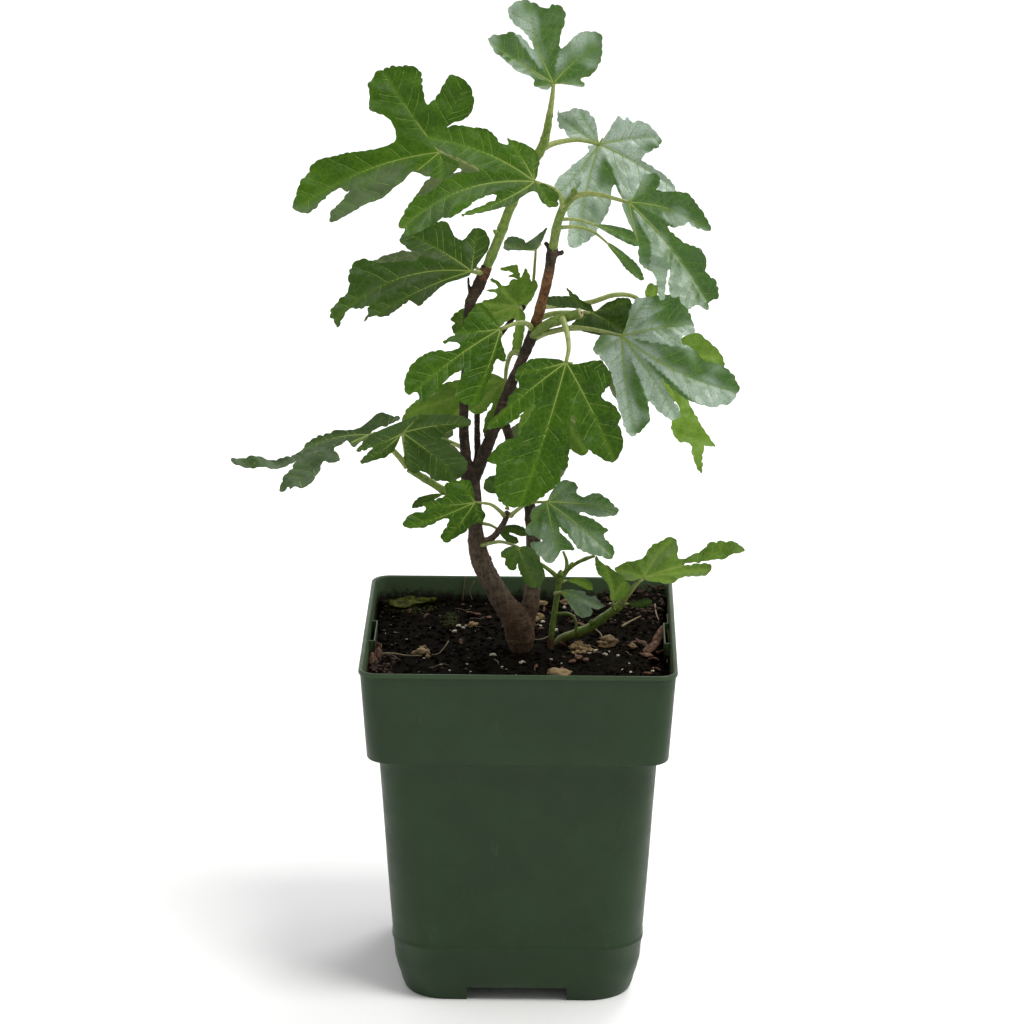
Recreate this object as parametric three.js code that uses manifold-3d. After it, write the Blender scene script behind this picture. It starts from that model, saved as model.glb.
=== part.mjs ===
// A young fig tree in a square nursery pot: two woody trunks from one root
// collar, forked stems, green shoots and suckers, and large lobed leaves on
// long stalks. Millimetres, +Z up, the pot's front towards -Y. The origin is
// the middle of the pot's flat foot.
import * as THREE from "three";
import { mergeVertices } from "three/addons/utils/BufferGeometryUtils.js";
import Module from "manifold-3d";

const wasm = await Module();
wasm.setup();

// ---------------------------------------------------------------- pot sizes
const RIM_HALF = 63.5; // half the pot's width at the rim
const POT_HEIGHT = 146.5;
const COLLAR_HEIGHT = 39; // the plain band below the rim
const COLLAR_FOOT_HALF = 60.6; // half-width at the collar's lower edge
const BODY_TOP_HALF = 56.4; // half-width of the body under the collar
const BODY_LOW_HALF = 50.2; // half-width where the body starts to round in
const BODY_LOW_HEIGHT = 15;
const FOOT_HALF = 46.5; // half-width of the foot's outer edge
const WALL = 1.4;
const LIP = 0.7; // how far the rim bead stands out
const LIP_HEIGHT = 2;
const FLOOR_UNDERSIDE = 5.6; // the moulded floor is held off the ground
const FLOOR_TOP = 7;
const NOTCH_HALF = 20; // drainage notch in the middle of each side's skirt
// Blocks moulded under the floor, [least X, greatest X, least Y, greatest Y];
// the first is the middle one, over the origin.
const FOOT_BLOCKS = [[-11.5, 2.6, -7, 7], [-21.5, -13, -31, -22], [10.8, 18.6, -31, -22]];
const CORNER_STEPS = 3; // facets round each corner of the pot

// --------------------------------------------------------------- soil, fits
const FIT = 0.3; // gap left between pieces that touch
const SOIL_TOP = 134.7;
const SOIL_GAP = 0.35;
const GROUND = SOIL_TOP + FIT; // flat cut under trunks and suckers

// -------------------------------------------------------------- plant sizes
const BLADE_THICKNESS = 0.8;
const NECK = 0.62; // lobe's width at its neck over its greatest width
const WIDEST = 0.66; // place of a lobe's greatest width along it
const SLIT = 0.9; // least gap kept between two lobes
const STALK_SIDES = 5;
const STEM_SIDES = 7;

// Points of the plant are given as [across, height, depth]: across and height
// are read where the line of sight from this eye point crosses the upright
// plane through the pot's middle, and depth is the point's own Y.
const EYE = new THREE.Vector3(20.8, -1633, 700.6);

function sight(across, height, depth) {
  const onPlane = new THREE.Vector3(across, 0, height);
  return onPlane.sub(EYE).multiplyScalar((depth - EYE.y) / -EYE.y).add(EYE);
}

// Stems: [across, height, depth, radius] from the foot to the tip, and the
// stem that each grows from.
const STEMS = {
  trunk: {
    path: [
      [0, 128, 0, 5], [0, 138, 0, 5.3], [-1.5, 147, 0, 5.8], [-7, 156, 0, 4.6],
      [-12, 165, 0, 4.2], [-16.8, 176, 0, 4], [-18.4, 188, 0, 3.1], [-18.8, 199, 0, 3.1],
      [-20.5, 209, 0, 3.7], [-20.5, 214, 0, 3],
    ],
    look: "bark",
  },
  stem_second: {
    from: ["trunk"],
    path: [
      [1, 146, 1, 3.4], [4.5, 157, 4, 3.4], [5.2, 170, 8, 3], [4.4, 190, 12, 2.5],
      [2, 207, 14, 2.2], [-3, 221, 15, 2], [-6.5, 232, 15, 1.7],
    ],
    look: "bark",
  },
  stem_left: {
    from: ["trunk"],
    path: [
      [-20.8, 210, 0, 2.3], [-22.8, 222, 1, 2], [-23, 240, 2, 1.9], [-22, 262, 3, 1.9],
      [-21, 280, 4, 2], [-17.6, 288, 4, 2.4], [-13.6, 297.5, 5, 2.2], [-8.8, 309.6, 6, 2],
      [-4.4, 321.7, 8, 1.9], [2.5, 336, 9, 1.8], [7.5, 345, 9, 1.9], [9.5, 351.5, 10, 1.6],
      [10.6, 358.5, 11, 1.2],
    ],
    look: "green",
  },
  stem_right: {
    from: ["trunk", "stem_left"],
    path: [
      [-20, 209, 0, 2.6], [-14.5, 220, -1, 2.6], [-10, 232, -2, 2.3], [-5, 246, -4, 2.1],
      [0, 258, -6, 2], [4, 268, -8, 2.2], [7.5, 280, -10, 1.9], [10.5, 293, -12, 1.9],
      [12.3, 305, -13, 1.9], [14.2, 315, -15, 1.7], [17, 322, -16, 1.6], [20.5, 325.8, -17, 1.4],
    ],
    look: "green",
  },
  stem_thin: {
    from: ["trunk", "stem_left", "stem_right"],
    path: [
      [-19.5, 211, 1, 1.4], [-17.6, 219, 5, 1.3], [-17.3, 240, 9, 1.2], [-12, 262, 14, 1.1],
      [-4, 275, 17, 1.1], [1, 281, 18, 1.3],
    ],
    look: "bark",
  },
  twig_low: {
    from: ["trunk"],
    path: [
      [-16.5, 181, 0, 1.5], [-12, 183, -4, 1.4], [-8.5, 187, -9, 1.3], [-6.2, 191, -12, 1.2],
      [-5.5, 194.5, -14, 1.2],
    ],
    look: "bark",
  },
  shoot_left: {
    from: ["trunk"],
    path: [
      [-19, 199, 0, 1.6], [-28.5, 202, -3, 1.6], [-36, 206.5, -5, 1.5], [-45.5, 212.5, -6, 1.5],
    ],
    look: "green",
  },
  shoot_stub: {
    from: ["stem_right"],
    path: [
      [4.5, 269, -8, 1.9], [10, 273, -13, 2], [16, 275.5, -15, 1.8], [23.5, 278, -17, 1.6],
    ],
    look: "green",
  },
  sucker_short: {
    from: [],
    path: [
      [12.4, 132, 7, 1.3], [12.8, 141, 7, 1.2], [14, 151, 8, 1.2], [15.4, 161, 9, 1.1],
      [16.2, 167, 9, 1.5],
    ],
    look: "green",
  },
  sucker_long: {
    from: [],
    path: [
      [14.5, 133, 12, 1.9], [16.5, 139.5, 12, 2], [22, 142.3, 10, 1.9], [28, 145, 8, 1.9],
      [34, 149.5, 6, 1.8], [38.5, 153, 4, 1.8], [42, 156.5, 3, 1.6],
    ],
    look: "green",
  },
};

// Leaves: base is where the lobes' veins meet, [across, height, depth]; slope is
// how far the blade falls back per millimetre across and per millimetre up;
// stalk is the leaf stalk's points before the base, thick its radius where it
// isn't the usual; lobes, anticlockwise from the stalk, are [tip across, tip
// height, width, bow, neck], bow to the lobe's left, neck where it is unusual.
const LEAVES = {
  leaf_top: {
    on: ["stem_left"], stalk: [[10.6, 358, 11], [11.6, 365, 11]], base: [12.2, 371.2, 12],
    slope: [0.15, 0.35], sag: 3,
    lobes: [
      [24.5, 370.8, 5, 0.4], [30, 386, 17, 1.5], [2.6, 403.6, 23, 1.8], [-14, 389, 11, 0.5],
      [4.6, 370.6, 6, 0.4],
    ],
  },
  leaf_upper_left: {
    on: ["stem_left"], stalk: [[-2.2, 326, 8], [-10, 332, 9], [-20, 338.5, 10]],
    base: [-32.8, 343.2, 10], slope: [-0.3, 0.7], sag: 4,
    lobes: [
      [-20.5, 370.5, 13, 1.2, 0.9], [-54.5, 375.6, 23, 0.8, 0.85], [-90.5, 318.8, 14, -4.5],
      [-75.4, 313.8, 9.5, 1.6], [-31.5, 331, 14, 0.4],
    ],
  },
  leaf_over_left: {
    on: ["stem_right"],
    stalk: [[16.2, 320.5, -16], [15.6, 324.5, -18], [12.5, 328.8, -21]],
    base: [5, 331.6, -23], slope: [0.3, 0.5], sag: 5,
    lobes: [
      [4.8, 344.5, 7, 0.5], [-5.6, 349.4, 8, -0.4], [-38, 349.2, 14, -3.2],
      [-49.5, 310.5, 15, -7], [-24, 318, 6, 1.6], [11, 321.5, 6, 0.8],
    ],
  },
  leaf_mid_left: {
    on: ["stem_left"], stalk: [[-14.8, 294, 4]], base: [-20, 294.9, 1],
    slope: [-0.1, 0.6], sag: 4,
    lobes: [
      [-17, 313.4, 10, 0.4], [-46.5, 311, 18, -0.8], [-76.5, 272, 16, -8],
      [-63, 272.5, 9, -2.4],
    ],
  },
  leaf_upper_right: {
    on: ["stem_left"], stalk: [[8.5, 345.6, 10], [14, 347.6, 14], [22, 348.6, 19]],
    base: [30.5, 347, 22], slope: [0.2, 0.35], sag: 4,
    lobes: [
      [14, 326, 10, 0.6], [22.5, 303.8, 14, -1.5], [61.5, 328.5, 14, 1], [54.8, 350.5, 14, 0.6],
      [37.3, 358.5, 6, 0.3], [22.5, 360.5, 7, 0.3], [13, 359.3, 11, 0.5],
    ],
  },
  leaf_right: {
    on: ["stem_right"],
    stalk: [[19.8, 325.3, -17], [26, 327, -20], [34, 325.8, -24]], base: [42.3, 323.5, -27],
    slope: [-0.1, 0.4], sag: 5,
    lobes: [
      [56.2, 283, 12, -1.6], [76.5, 279.5, 17, 2.4], [74.8, 312, 12, 3],
      [51.5, 335.8, 9, -0.5],
    ],
  },
  leaf_young_upper: {
    on: ["stem_right"], stalk: [[15, 316.5, -15], [22, 316.4, -11]], base: [29.5, 314.2, -8],
    slope: [0.1, 0.3], sag: 1,
    lobes: [[48.5, 306.2, 5, 0.6]],
  },
  leaf_young_lower: {
    on: ["stem_right"], stalk: [[14, 313, -14.6], [23, 313.4, -5], [29, 311, -3]],
    base: [33.5, 307.4, -2], slope: [0.1, 0.3], sag: 1,
    lobes: [[48.6, 291.5, 4, 0.5]],
  },
  leaf_right_low: {
    on: ["stem_right", "shoot_stub"],
    stalk: [[5.5, 269.3, -9], [11, 270, -13], [20, 272, -18], [30, 271, -26]],
    base: [40.3, 268.6, -31], slope: [0.2, 0.3], sag: 4,
    lobes: [
      [29.5, 261.5, 8, 0.4], [46, 227.8, 14, -1], [63.3, 234, 14, 1], [86.8, 246, 17, -3],
      [69.3, 274, 17, 0.8], [51.5, 286, 11, 0.6],
    ],
  },
  leaf_behind_stub: {
    on: ["stem_right"], stalk: [[5.5, 275, -9], [14, 278, -8]], base: [27.5, 278.3, -7],
    slope: [0.05, 0.3], sag: 1,
    lobes: [
      [16, 270.5, 8, 0.4], [44.5, 268.5, 11, 0.5], [43, 284, 8, -0.6], [18.2, 288, 5, 0.5],
      [8.5, 284, 4, 0.4],
    ],
  },
  leaf_light_right: {
    on: ["stem_right"],
    stalk: [[7.2, 280.5, -8.5], [12.5, 281, 2], [26.5, 282.3, 5], [38, 285.8, 8],
      [47, 283.6, 9], [53.5, 271, 7]],
    base: [56, 257.5, 5], slope: [0.1, 0.3], sag: 2,
    lobes: [
      [60.5, 227.5, 8, 0.6], [71.7, 211.6, 7, 0.8], [77.6, 222.6, 9, 1], [80.6, 260.2, 15, 1.8],
      [53.3, 291, 7, 0.5],
    ],
  },
  leaf_centre: {
    on: ["shoot_stub"], stalk: [[16.5, 275.4, -17], [18, 271, -26], [19, 263.5, -37]],
    base: [18, 257.6, -42], slope: [0.02, 0.25], sag: 3,
    lobes: [
      [-3.6, 253.2, 11, 0.8], [-13.5, 230.3, 11, -0.7], [-0.5, 196, 29, 0.8],
      [38.6, 214.8, 17, 0.8], [37.8, 250.8, 13, 1.2],
    ],
  },
  leaf_centre_left: {
    on: ["stem_right", "shoot_stub"],
    stalk: [[4.4, 270.6, -8], [3, 273, -13], [-1, 273.9, -18]], base: [-8.4, 271.2, -22],
    slope: [0.1, 0.4], sag: 3,
    lobes: [
      [-17, 281, 12, 0.5], [-28.3, 269.5, 9, 0.4], [-46, 241.8, 16, -1.6],
      [-20.3, 238, 13, 0.8], [-7.2, 255.5, 7, 0.4],
    ],
  },
  leaf_far_left: {
    on: ["shoot_left"], stalk: [[-45.8, 213.2, -4.6], [-52, 220.5, -4], [-57.5, 225.3, -6]],
    base: [-61.5, 226.6, -8], slope: [-0.5, 1.8], sag: 0,
    lobes: [
      [-48.5, 231.2, 5, 0.8], [-90.5, 219, 6, -2.2], [-115, 208.2, 6, -1.6],
      [-92, 198.5, 12, -3.5], [-73.2, 213.6, 5, -1.4], [-64.8, 222.6, 3.5, 0.3],
    ],
  },
  leaf_low_left: {
    on: ["shoot_left"], stalk: [[-44, 211.6, -7.8], [-46.3, 218.5, -12]], base: [-47.8, 227.6, -13.5],
    slope: [0.1, 0.15], sag: 2,
    lobes: [
      [-25, 208.2, 18, 0.8], [-19.2, 231.6, 6, 1.2], [-35.5, 242, 12, -0.5],
      [-66.5, 220, 6, 1], [-65.5, 214, 7, 1], [-45.2, 211.8, 5, 0.3],
    ],
  },
  leaf_small_left: {
    on: ["twig_low"], stalk: [[-6.7, 193.2, -14], [-9, 195.4, -19], [-12.5, 197.8, -22]],
    base: [-18.6, 198.5, -24], slope: [-0.1, 0.4], sag: 2, thick: 0.9,
    lobes: [
      [-24, 208, 10, 0.4], [-40.5, 196.8, 5, 0.6], [-47.8, 187, 9, 0.8], [-31.8, 181, 10, 0.8],
      [-15.6, 189.6, 7, -0.4],
    ],
  },
  leaf_small_right: {
    on: ["twig_low"], stalk: [[-4, 193, -14], [-1, 195.6, -19], [3.5, 198.4, -22]],
    base: [10.6, 199, -24], slope: [0.1, 0.35], sag: 2, thick: 0.9,
    lobes: [
      [2.6, 188, 11, 0.5], [17.2, 173.3, 13, -0.6], [39, 175, 12, 0.8], [40.8, 194.6, 9, 1.2],
      [21.8, 209, 8, -0.6],
    ],
  },
  leaf_round: {
    on: ["trunk", "twig_low"], stalk: [[-16.5, 180, -2], [-9, 181.8, -10], [-4, 180.8, -15]],
    base: [-0.8, 179.6, -17], slope: [0, 0.3], sag: 1,
    lobes: [[-8, 175, 8, 0.4], [-4.2, 169.2, 5, 0.3], [6.4, 162, 11, -0.6], [10, 172.5, 8, 0.4]],
  },
  leaf_scrap: {
    on: ["trunk"], stalk: [[-17.5, 189.8, 1], [-12.5, 189, 3]], base: [-9, 187, 5],
    slope: [0, 0.3], sag: 0,
    lobes: [[-0.5, 181.5, 3.5, -0.6], [3, 184.6, 4.5, 1.2]],
  },
  leaf_dry_left: {
    on: ["shoot_left"], stalk: [[-30, 202.8, -3]], base: [-31.5, 201.8, 0],
    slope: [0.1, 0.4], sag: 0,
    lobes: [[-44.3, 195.8, 3.5, -0.8]],
  },
  leaf_low_middle: {
    on: ["twig_low"], stalk: [[-5.5, 195.4, -13], [-5, 200, -12]], base: [-6.5, 204.2, -12],
    slope: [0, 0.3], sag: 0,
    lobes: [[-4, 214, 9, 0.4], [-14.2, 208.2, 8, 0.5]],
  },
  leaf_sucker_low: {
    on: ["sucker_short"], stalk: [[15, 159.5, 8.6]], base: [17, 160.3, 5],
    slope: [0, 0.3], sag: 1,
    lobes: [[19.5, 154.2, 5, 0.3], [25.5, 148.8, 9, 0.5], [34.6, 153.4, 9, 1], [28, 161.8, 5, 0.5]],
  },
  leaf_sucker_arch: {
    on: ["sucker_short"], stalk: [[16, 164.5, 9]], base: [18.8, 165.4, 11],
    slope: [0, 0.3], sag: 0,
    lobes: [[29.5, 161.5, 3.6, 1.6]],
  },
  leaf_sucker_curled: {
    on: ["sucker_long"], stalk: [[38.6, 153, 4], [38, 154.2, -2]], base: [38, 156.6, -5],
    slope: [-0.1, 0.2], sag: 0,
    lobes: [[44, 166, 7, 0.8], [30.4, 177.3, 9, -2.2]],
  },
  leaf_sucker_narrow: {
    on: ["sucker_long"], stalk: [[41, 155.5, 3.2]], base: [44, 155.7, 5],
    slope: [0.1, 0.4], sag: 0,
    lobes: [[54, 157.2, 3.6, -0.8]],
  },
  leaf_sucker_big: {
    on: ["sucker_long"], stalk: [[41.4, 156, 3], [45, 161.2, 0], [47.6, 164.6, -1]],
    base: [50, 166.8, -2], slope: [-0.4, 0.9], sag: 0,
    lobes: [
      [62, 165.2, 6, 0.6], [76.8, 170.4, 6, 0.6], [91.8, 178, 7, 1.2], [62, 183.6, 13, 0.8],
      [38.6, 170.2, 8, -1],
    ],
  },
  leaf_behind_top: {
    on: ["stem_thin"], stalk: [[0.2, 279.4, 19], [4, 286, 26], [5.3, 300, 27]],
    base: [5.5, 304, 27], slope: [0, 1.6], sag: 0,
    lobes: [[10.5, 311, 4, -0.4], [-7.8, 306.5, 4.6, 0.8]],
  },
  leaf_behind_middle: {
    on: ["stem_thin"], stalk: [[-0.4, 279.6, 18]], base: [-1.5, 281, 13],
    slope: [-0.1, 0.4], sag: 2,
    lobes: [
      [8, 286.5, 8, 0.4], [-8.5, 290.5, 8, 0.4], [-18, 282.5, 8, 0.5], [-28.8, 273.5, 10, 0.8],
      [-13, 266, 10, 0.5], [-2.2, 262, 7, 0.4],
    ],
  },
  shoot_tip: {
    on: ["stem_thin"], stalk: [[1, 281, 18.3]], base: [1.8, 284.6, 20],
    slope: [0, 0.2], sag: 0,
    lobes: [[3.2, 297.4, 4.4, 0.3], [-8.4, 296.8, 3.8, -0.5], [-8.4, 288.6, 3.4, 0.3]],
  },
  leaf_behind_left: {
    on: ["stem_thin"], stalk: [[-17.2, 243, 9.3]], base: [-20.3, 244.2, 12],
    slope: [-0.2, 0.3], sag: 1,
    lobes: [[-30, 249.2, 6, 0.4], [-46.5, 235, 13, -0.8], [-31.5, 226.5, 8, -0.6]],
  },
  leaf_behind_centre: {
    on: ["stem_right"],
    stalk: [[0.6, 260.8, -6.3], [-3.8, 261.3, -3], [-5.8, 256, 1]], base: [-6.4, 249.6, 3],
    slope: [0.1, 0.05], sag: 0,
    lobes: [[-15.5, 250, 7, 0.4], [-19.6, 236.5, 8, -0.6], [-13.2, 225.5, 8, 0.5], [-2, 241, 6, 0.4]],
  },
  leaf_behind_front: {
    on: ["stem_right"], stalk: [[-3, 251, -5], [2, 250, -9]], base: [8, 246, -13],
    slope: [0, 0.2], sag: 1,
    lobes: [[-3, 240, 8, 0.4], [0.5, 225.5, 9, 0.5], [26.2, 219.2, 10, 0.6], [21, 236.2, 5, 0.3]],
  },
  // Leaves on the far side of the crown.
  leaf_back_high: {
    on: ["stem_left"], stalk: [[-1.2, 330, 8.6], [-6, 331, 22]], base: [-12, 331.6, 34],
    slope: [0.3, -0.6], sag: -4,
    lobes: [[-12, 346.5, 11, 0.5], [-34, 347, 10, -1.5], [-42, 317.5, 9, -3.6]],
  },
  leaf_back_left: {
    on: ["stem_left"], stalk: [[-16, 294.6, 4.8], [-21, 298, 18]], base: [-29, 298.6, 31],
    slope: [-0.2, -0.5], sag: -4,
    lobes: [[-28.5, 309, 10, 0.4], [-44.5, 309, 12, 0.4], [-66, 287, 11, -2.6]],
  },
  leaf_back_right: {
    on: ["stem_right", "shoot_stub"],
    stalk: [[3.2, 266.5, -7], [14, 270.8, 12], [31, 271.3, 30]], base: [42, 265, 38],
    slope: [-0.2, -0.5], sag: -4,
    lobes: [
      [43, 240, 12, -0.4], [60, 240, 11, 0.5], [78, 249, 14, 0.8], [64, 275, 13, 0.6],
      [46, 280, 9, 0.5],
    ],
  },
  leaf_back_centre: {
    on: ["stem_right"],
    stalk: [[-0.2, 257.2, -5.8], [6, 254, 6], [11, 247, 20]], base: [12, 239, 34],
    slope: [0.1, -0.4], sag: -4,
    lobes: [
      [-4.5, 215, 10, -0.6], [8, 204, 14, 0.6], [33, 224, 11, 0.6], [32, 246, 10, 0.6],
      [12, 254, 8, 0.4],
    ],
  },
  leaf_back_low: {
    on: ["stem_left"], stalk: [[-22.7, 221, 1.2], [-24.5, 222, 14]], base: [-33, 226, 27],
    slope: [0.2, -0.4], sag: -3,
    lobes: [[-35, 238.5, 7, 0.3], [-44, 219, 8, -0.4], [-29, 214, 13, 0.6], [-27.5, 229, 5, 0.3]],
  },
};

// ------------------------------------------------------------ closed meshes
// A closed mesh as a manifold solid, and back to a three.js geometry.
function toSolid(geometry) {
  const bare = geometry.clone();
  bare.deleteAttribute("normal");
  bare.deleteAttribute("uv");
  const merged = mergeVertices(bare, 1e-4);
  return new wasm.Manifold(new wasm.Mesh({
    numProp: 3,
    vertProperties: new Float32Array(merged.attributes.position.array),
    triVerts: new Uint32Array(merged.index.array),
  }));
}

// A cut can leave a sliver beside the piece proper, which is the largest body.
function largestBody(solid) {
  const bodies = solid.decompose();
  return bodies.reduce((best, body) => (body.volume() > best.volume() ? body : best));
}

function toGeometry(solid) {
  const mesh = solid.getMesh();
  const geometry = new THREE.BufferGeometry();
  geometry.setAttribute("position", new THREE.BufferAttribute(mesh.vertProperties, mesh.numProp));
  geometry.setIndex(new THREE.BufferAttribute(mesh.triVerts, 1));
  return geometry;
}

function meshFrom(points, faces) {
  const geometry = new THREE.BufferGeometry();
  geometry.setFromPoints(points);
  geometry.setIndex(faces.flat());
  return geometry;
}

// A skin over rings that all have the same number of points, closed at both
// ends by a fan round the ring's middle.
function skin(rings) {
  const count = rings[0].length;
  const points = rings.flat();
  const faces = [];
  for (let r = 0; r + 1 < rings.length; r += 1) {
    for (let i = 0; i < count; i += 1) {
      const a = r * count + i;
      const b = r * count + ((i + 1) % count);
      faces.push([a, b, b + count], [a, b + count, a + count]);
    }
  }
  for (const [first, flip] of [[0, true], [(rings.length - 1) * count, false]]) {
    const middle = new THREE.Vector3();
    for (let i = 0; i < count; i += 1) middle.addScaledVector(points[first + i], 1 / count);
    points.push(middle);
    const hub = points.length - 1;
    for (let i = 0; i < count; i += 1) {
      const a = first + i;
      const b = first + ((i + 1) % count);
      faces.push(flip ? [b, a, hub] : [a, b, hub]);
    }
  }
  return meshFrom(points, faces);
}

// ---------------------------------------------------------------- pot, soil
// One level ring of the pot: a square of the given half-width, its corners
// rounded, anticlockwise from above.
function squareRing(half, corner, height) {
  const ring = [];
  const centre = half - corner;
  for (const [sx, sy, start] of [[1, 1, 0], [-1, 1, 90], [-1, -1, 180], [1, -1, 270]]) {
    for (let i = 0; i <= CORNER_STEPS; i += 1) {
      const angle = THREE.MathUtils.degToRad(start + (90 * i) / CORNER_STEPS);
      ring.push(new THREE.Vector3(
        sx * centre + corner * Math.cos(angle), sy * centre + corner * Math.sin(angle), height));
    }
  }
  return ring;
}

const COLLAR_FOOT = POT_HEIGHT - COLLAR_HEIGHT;

function buildPot() {
  const rings = [
    squareRing(FOOT_HALF - WALL, 16.6, FLOOR_UNDERSIDE),
    squareRing(FOOT_HALF - WALL, 16.6, 0),
    squareRing(FOOT_HALF, 18, 0),
    squareRing(BODY_LOW_HALF - 0.8, 19, 7),
    squareRing(BODY_LOW_HALF, 19, BODY_LOW_HEIGHT),
    squareRing(BODY_TOP_HALF, 13, COLLAR_FOOT),
    squareRing(COLLAR_FOOT_HALF, 9, COLLAR_FOOT),
    squareRing(RIM_HALF - LIP, 7, POT_HEIGHT - LIP_HEIGHT),
    squareRing(RIM_HALF, 7.7, POT_HEIGHT - LIP_HEIGHT),
    squareRing(RIM_HALF, 7.7, POT_HEIGHT),
    squareRing(RIM_HALF - LIP - WALL, 5.6, POT_HEIGHT),
    squareRing(COLLAR_FOOT_HALF - WALL, 7.6, COLLAR_FOOT + WALL),
    squareRing(BODY_TOP_HALF - WALL, 11.6, COLLAR_FOOT + WALL),
    squareRing(BODY_LOW_HALF - WALL, 17.6, BODY_LOW_HEIGHT),
    squareRing(FOOT_HALF - WALL, 16.6, FLOOR_TOP),
  ];
  let pot = toSolid(skin(rings));
  for (const turn of [0, 90, 180, 270]) {
    const notch = new THREE.BoxGeometry(2 * NOTCH_HALF, 12, 2 * FLOOR_UNDERSIDE);
    notch.translate(0, -FOOT_HALF, 0);
    notch.rotateZ(THREE.MathUtils.degToRad(turn));
    pot = pot.subtract(toSolid(notch));
  }
  for (const [x0, x1, y0, y1] of FOOT_BLOCKS) {
    const block = new THREE.BoxGeometry(x1 - x0, y1 - y0, FLOOR_UNDERSIDE + WALL / 2);
    block.translate((x0 + x1) / 2, (y0 + y1) / 2, (FLOOR_UNDERSIDE + WALL / 2) / 2);
    pot = pot.add(toSolid(block));
  }
  return toGeometry(pot);
}

function buildSoil() {
  const inset = WALL + SOIL_GAP;
  const rise = (SOIL_TOP - COLLAR_FOOT) / (POT_HEIGHT - COLLAR_FOOT);
  const topHalf = COLLAR_FOOT_HALF + rise * (RIM_HALF - LIP - COLLAR_FOOT_HALF) - inset;
  return skin([
    squareRing(FOOT_HALF - inset, 16.2, FLOOR_TOP + SOIL_GAP),
    squareRing(BODY_LOW_HALF - inset, 17.2, BODY_LOW_HEIGHT + SOIL_GAP),
    squareRing(BODY_TOP_HALF - inset, 11.2, COLLAR_FOOT + WALL + SOIL_GAP),
    squareRing(COLLAR_FOOT_HALF - inset, 7.2, COLLAR_FOOT + WALL + SOIL_GAP),
    squareRing(topHalf, 6.2, SOIL_TOP),
  ]);
}

// ------------------------------------------------------------ stems, stalks
// A round limb along a smooth curve through its points, its radius running
// from each point's to the next, widened by grow for a clearance cut.
function limb(points, radii, sides, stationsPerSpan, grow = 0) {
  const curve = new THREE.CatmullRomCurve3(points, false, "centripetal");
  const stations = (points.length - 1) * stationsPerSpan;
  const rings = [];
  let side = new THREE.Vector3(1, 0, 0);
  for (let k = 0; k <= stations; k += 1) {
    const u = k / stations;
    const centre = curve.getPoint(u);
    const along = curve.getTangent(u);
    side = side.clone().addScaledVector(along, -side.dot(along)).normalize();
    const up = new THREE.Vector3().crossVectors(along, side);
    const place = u * (radii.length - 1);
    const i = Math.min(Math.floor(place), radii.length - 2);
    const radius = THREE.MathUtils.lerp(radii[i], radii[i + 1], place - i) + grow;
    if (k === 0) centre.addScaledVector(along, -grow);
    if (k === stations) centre.addScaledVector(along, grow);
    const ring = [];
    for (let j = 0; j < sides; j += 1) {
      const angle = (2 * Math.PI * j) / sides;
      ring.push(centre.clone()
        .addScaledVector(side, radius * Math.cos(angle))
        .addScaledVector(up, radius * Math.sin(angle)));
    }
    rings.push(ring);
  }
  return skin(rings);
}

function stemSolid(name, grow = 0) {
  const path = STEMS[name].path;
  const points = path.map(([x, v, y]) => sight(x, v, y));
  return toSolid(limb(points, path.map((p) => p[3]), STEM_SIDES, 1, grow));
}

function groundBlock() {
  const block = new THREE.BoxGeometry(60, 60, 40);
  block.translate(0, 0, GROUND - 20);
  return toSolid(block);
}

// -------------------------------------------------------------- leaf blades
// A lobe's midrib in the plane of sight, from the leaf base to the lobe's tip.
function midrib(base, [tipX, tipV, , bow]) {
  const start = new THREE.Vector2(base[0], base[1]);
  const tip = new THREE.Vector2(tipX, tipV);
  const run = tip.clone().sub(start);
  const left = new THREE.Vector2(-run.y, run.x).normalize();
  const knee = start.clone().lerp(tip, 0.5).addScaledVector(left, 2 * bow);
  return { curve: new THREE.QuadraticBezierCurve(start, knee, tip), length: run.length() };
}

// Where two neighbouring lobes part: the distance out along both midribs at
// which they are as far apart as the two necks are wide.
function sinus(one, other) {
  const reach = 0.8 * Math.min(one.length, other.length);
  const apart = (one.neck * one.width + other.neck * other.width) / 2;
  const steps = 40;
  let place = reach;
  for (let k = 1; k <= steps; k += 1) {
    const out = (reach * k) / steps;
    const gap = one.curve.getPoint(out / one.length)
      .distanceTo(other.curve.getPoint(out / other.length));
    if (gap >= apart) {
      place = out;
      break;
    }
  }
  const middle = one.curve.getPoint(place / one.length)
    .lerp(other.curve.getPoint(place / other.length), 0.5);
  return { place, middle };
}

// Half the lobe's width at a fraction of its length, past its neck.
function halfWidth(lobe, fraction, neckFraction) {
  const full = lobe.width / 2;
  if (fraction >= WIDEST) {
    const past = (fraction - WIDEST) / (1 - WIDEST);
    return full * Math.sqrt(Math.max(0, 1 - past * past));
  }
  const neck = neckFraction > 0 ? lobe.neck * full : 0.2 * full;
  const t = THREE.MathUtils.smoothstep(fraction, neckFraction, WIDEST);
  return THREE.MathUtils.lerp(neck, full, neckFraction > 0 ? t : Math.sqrt(t));
}

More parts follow.
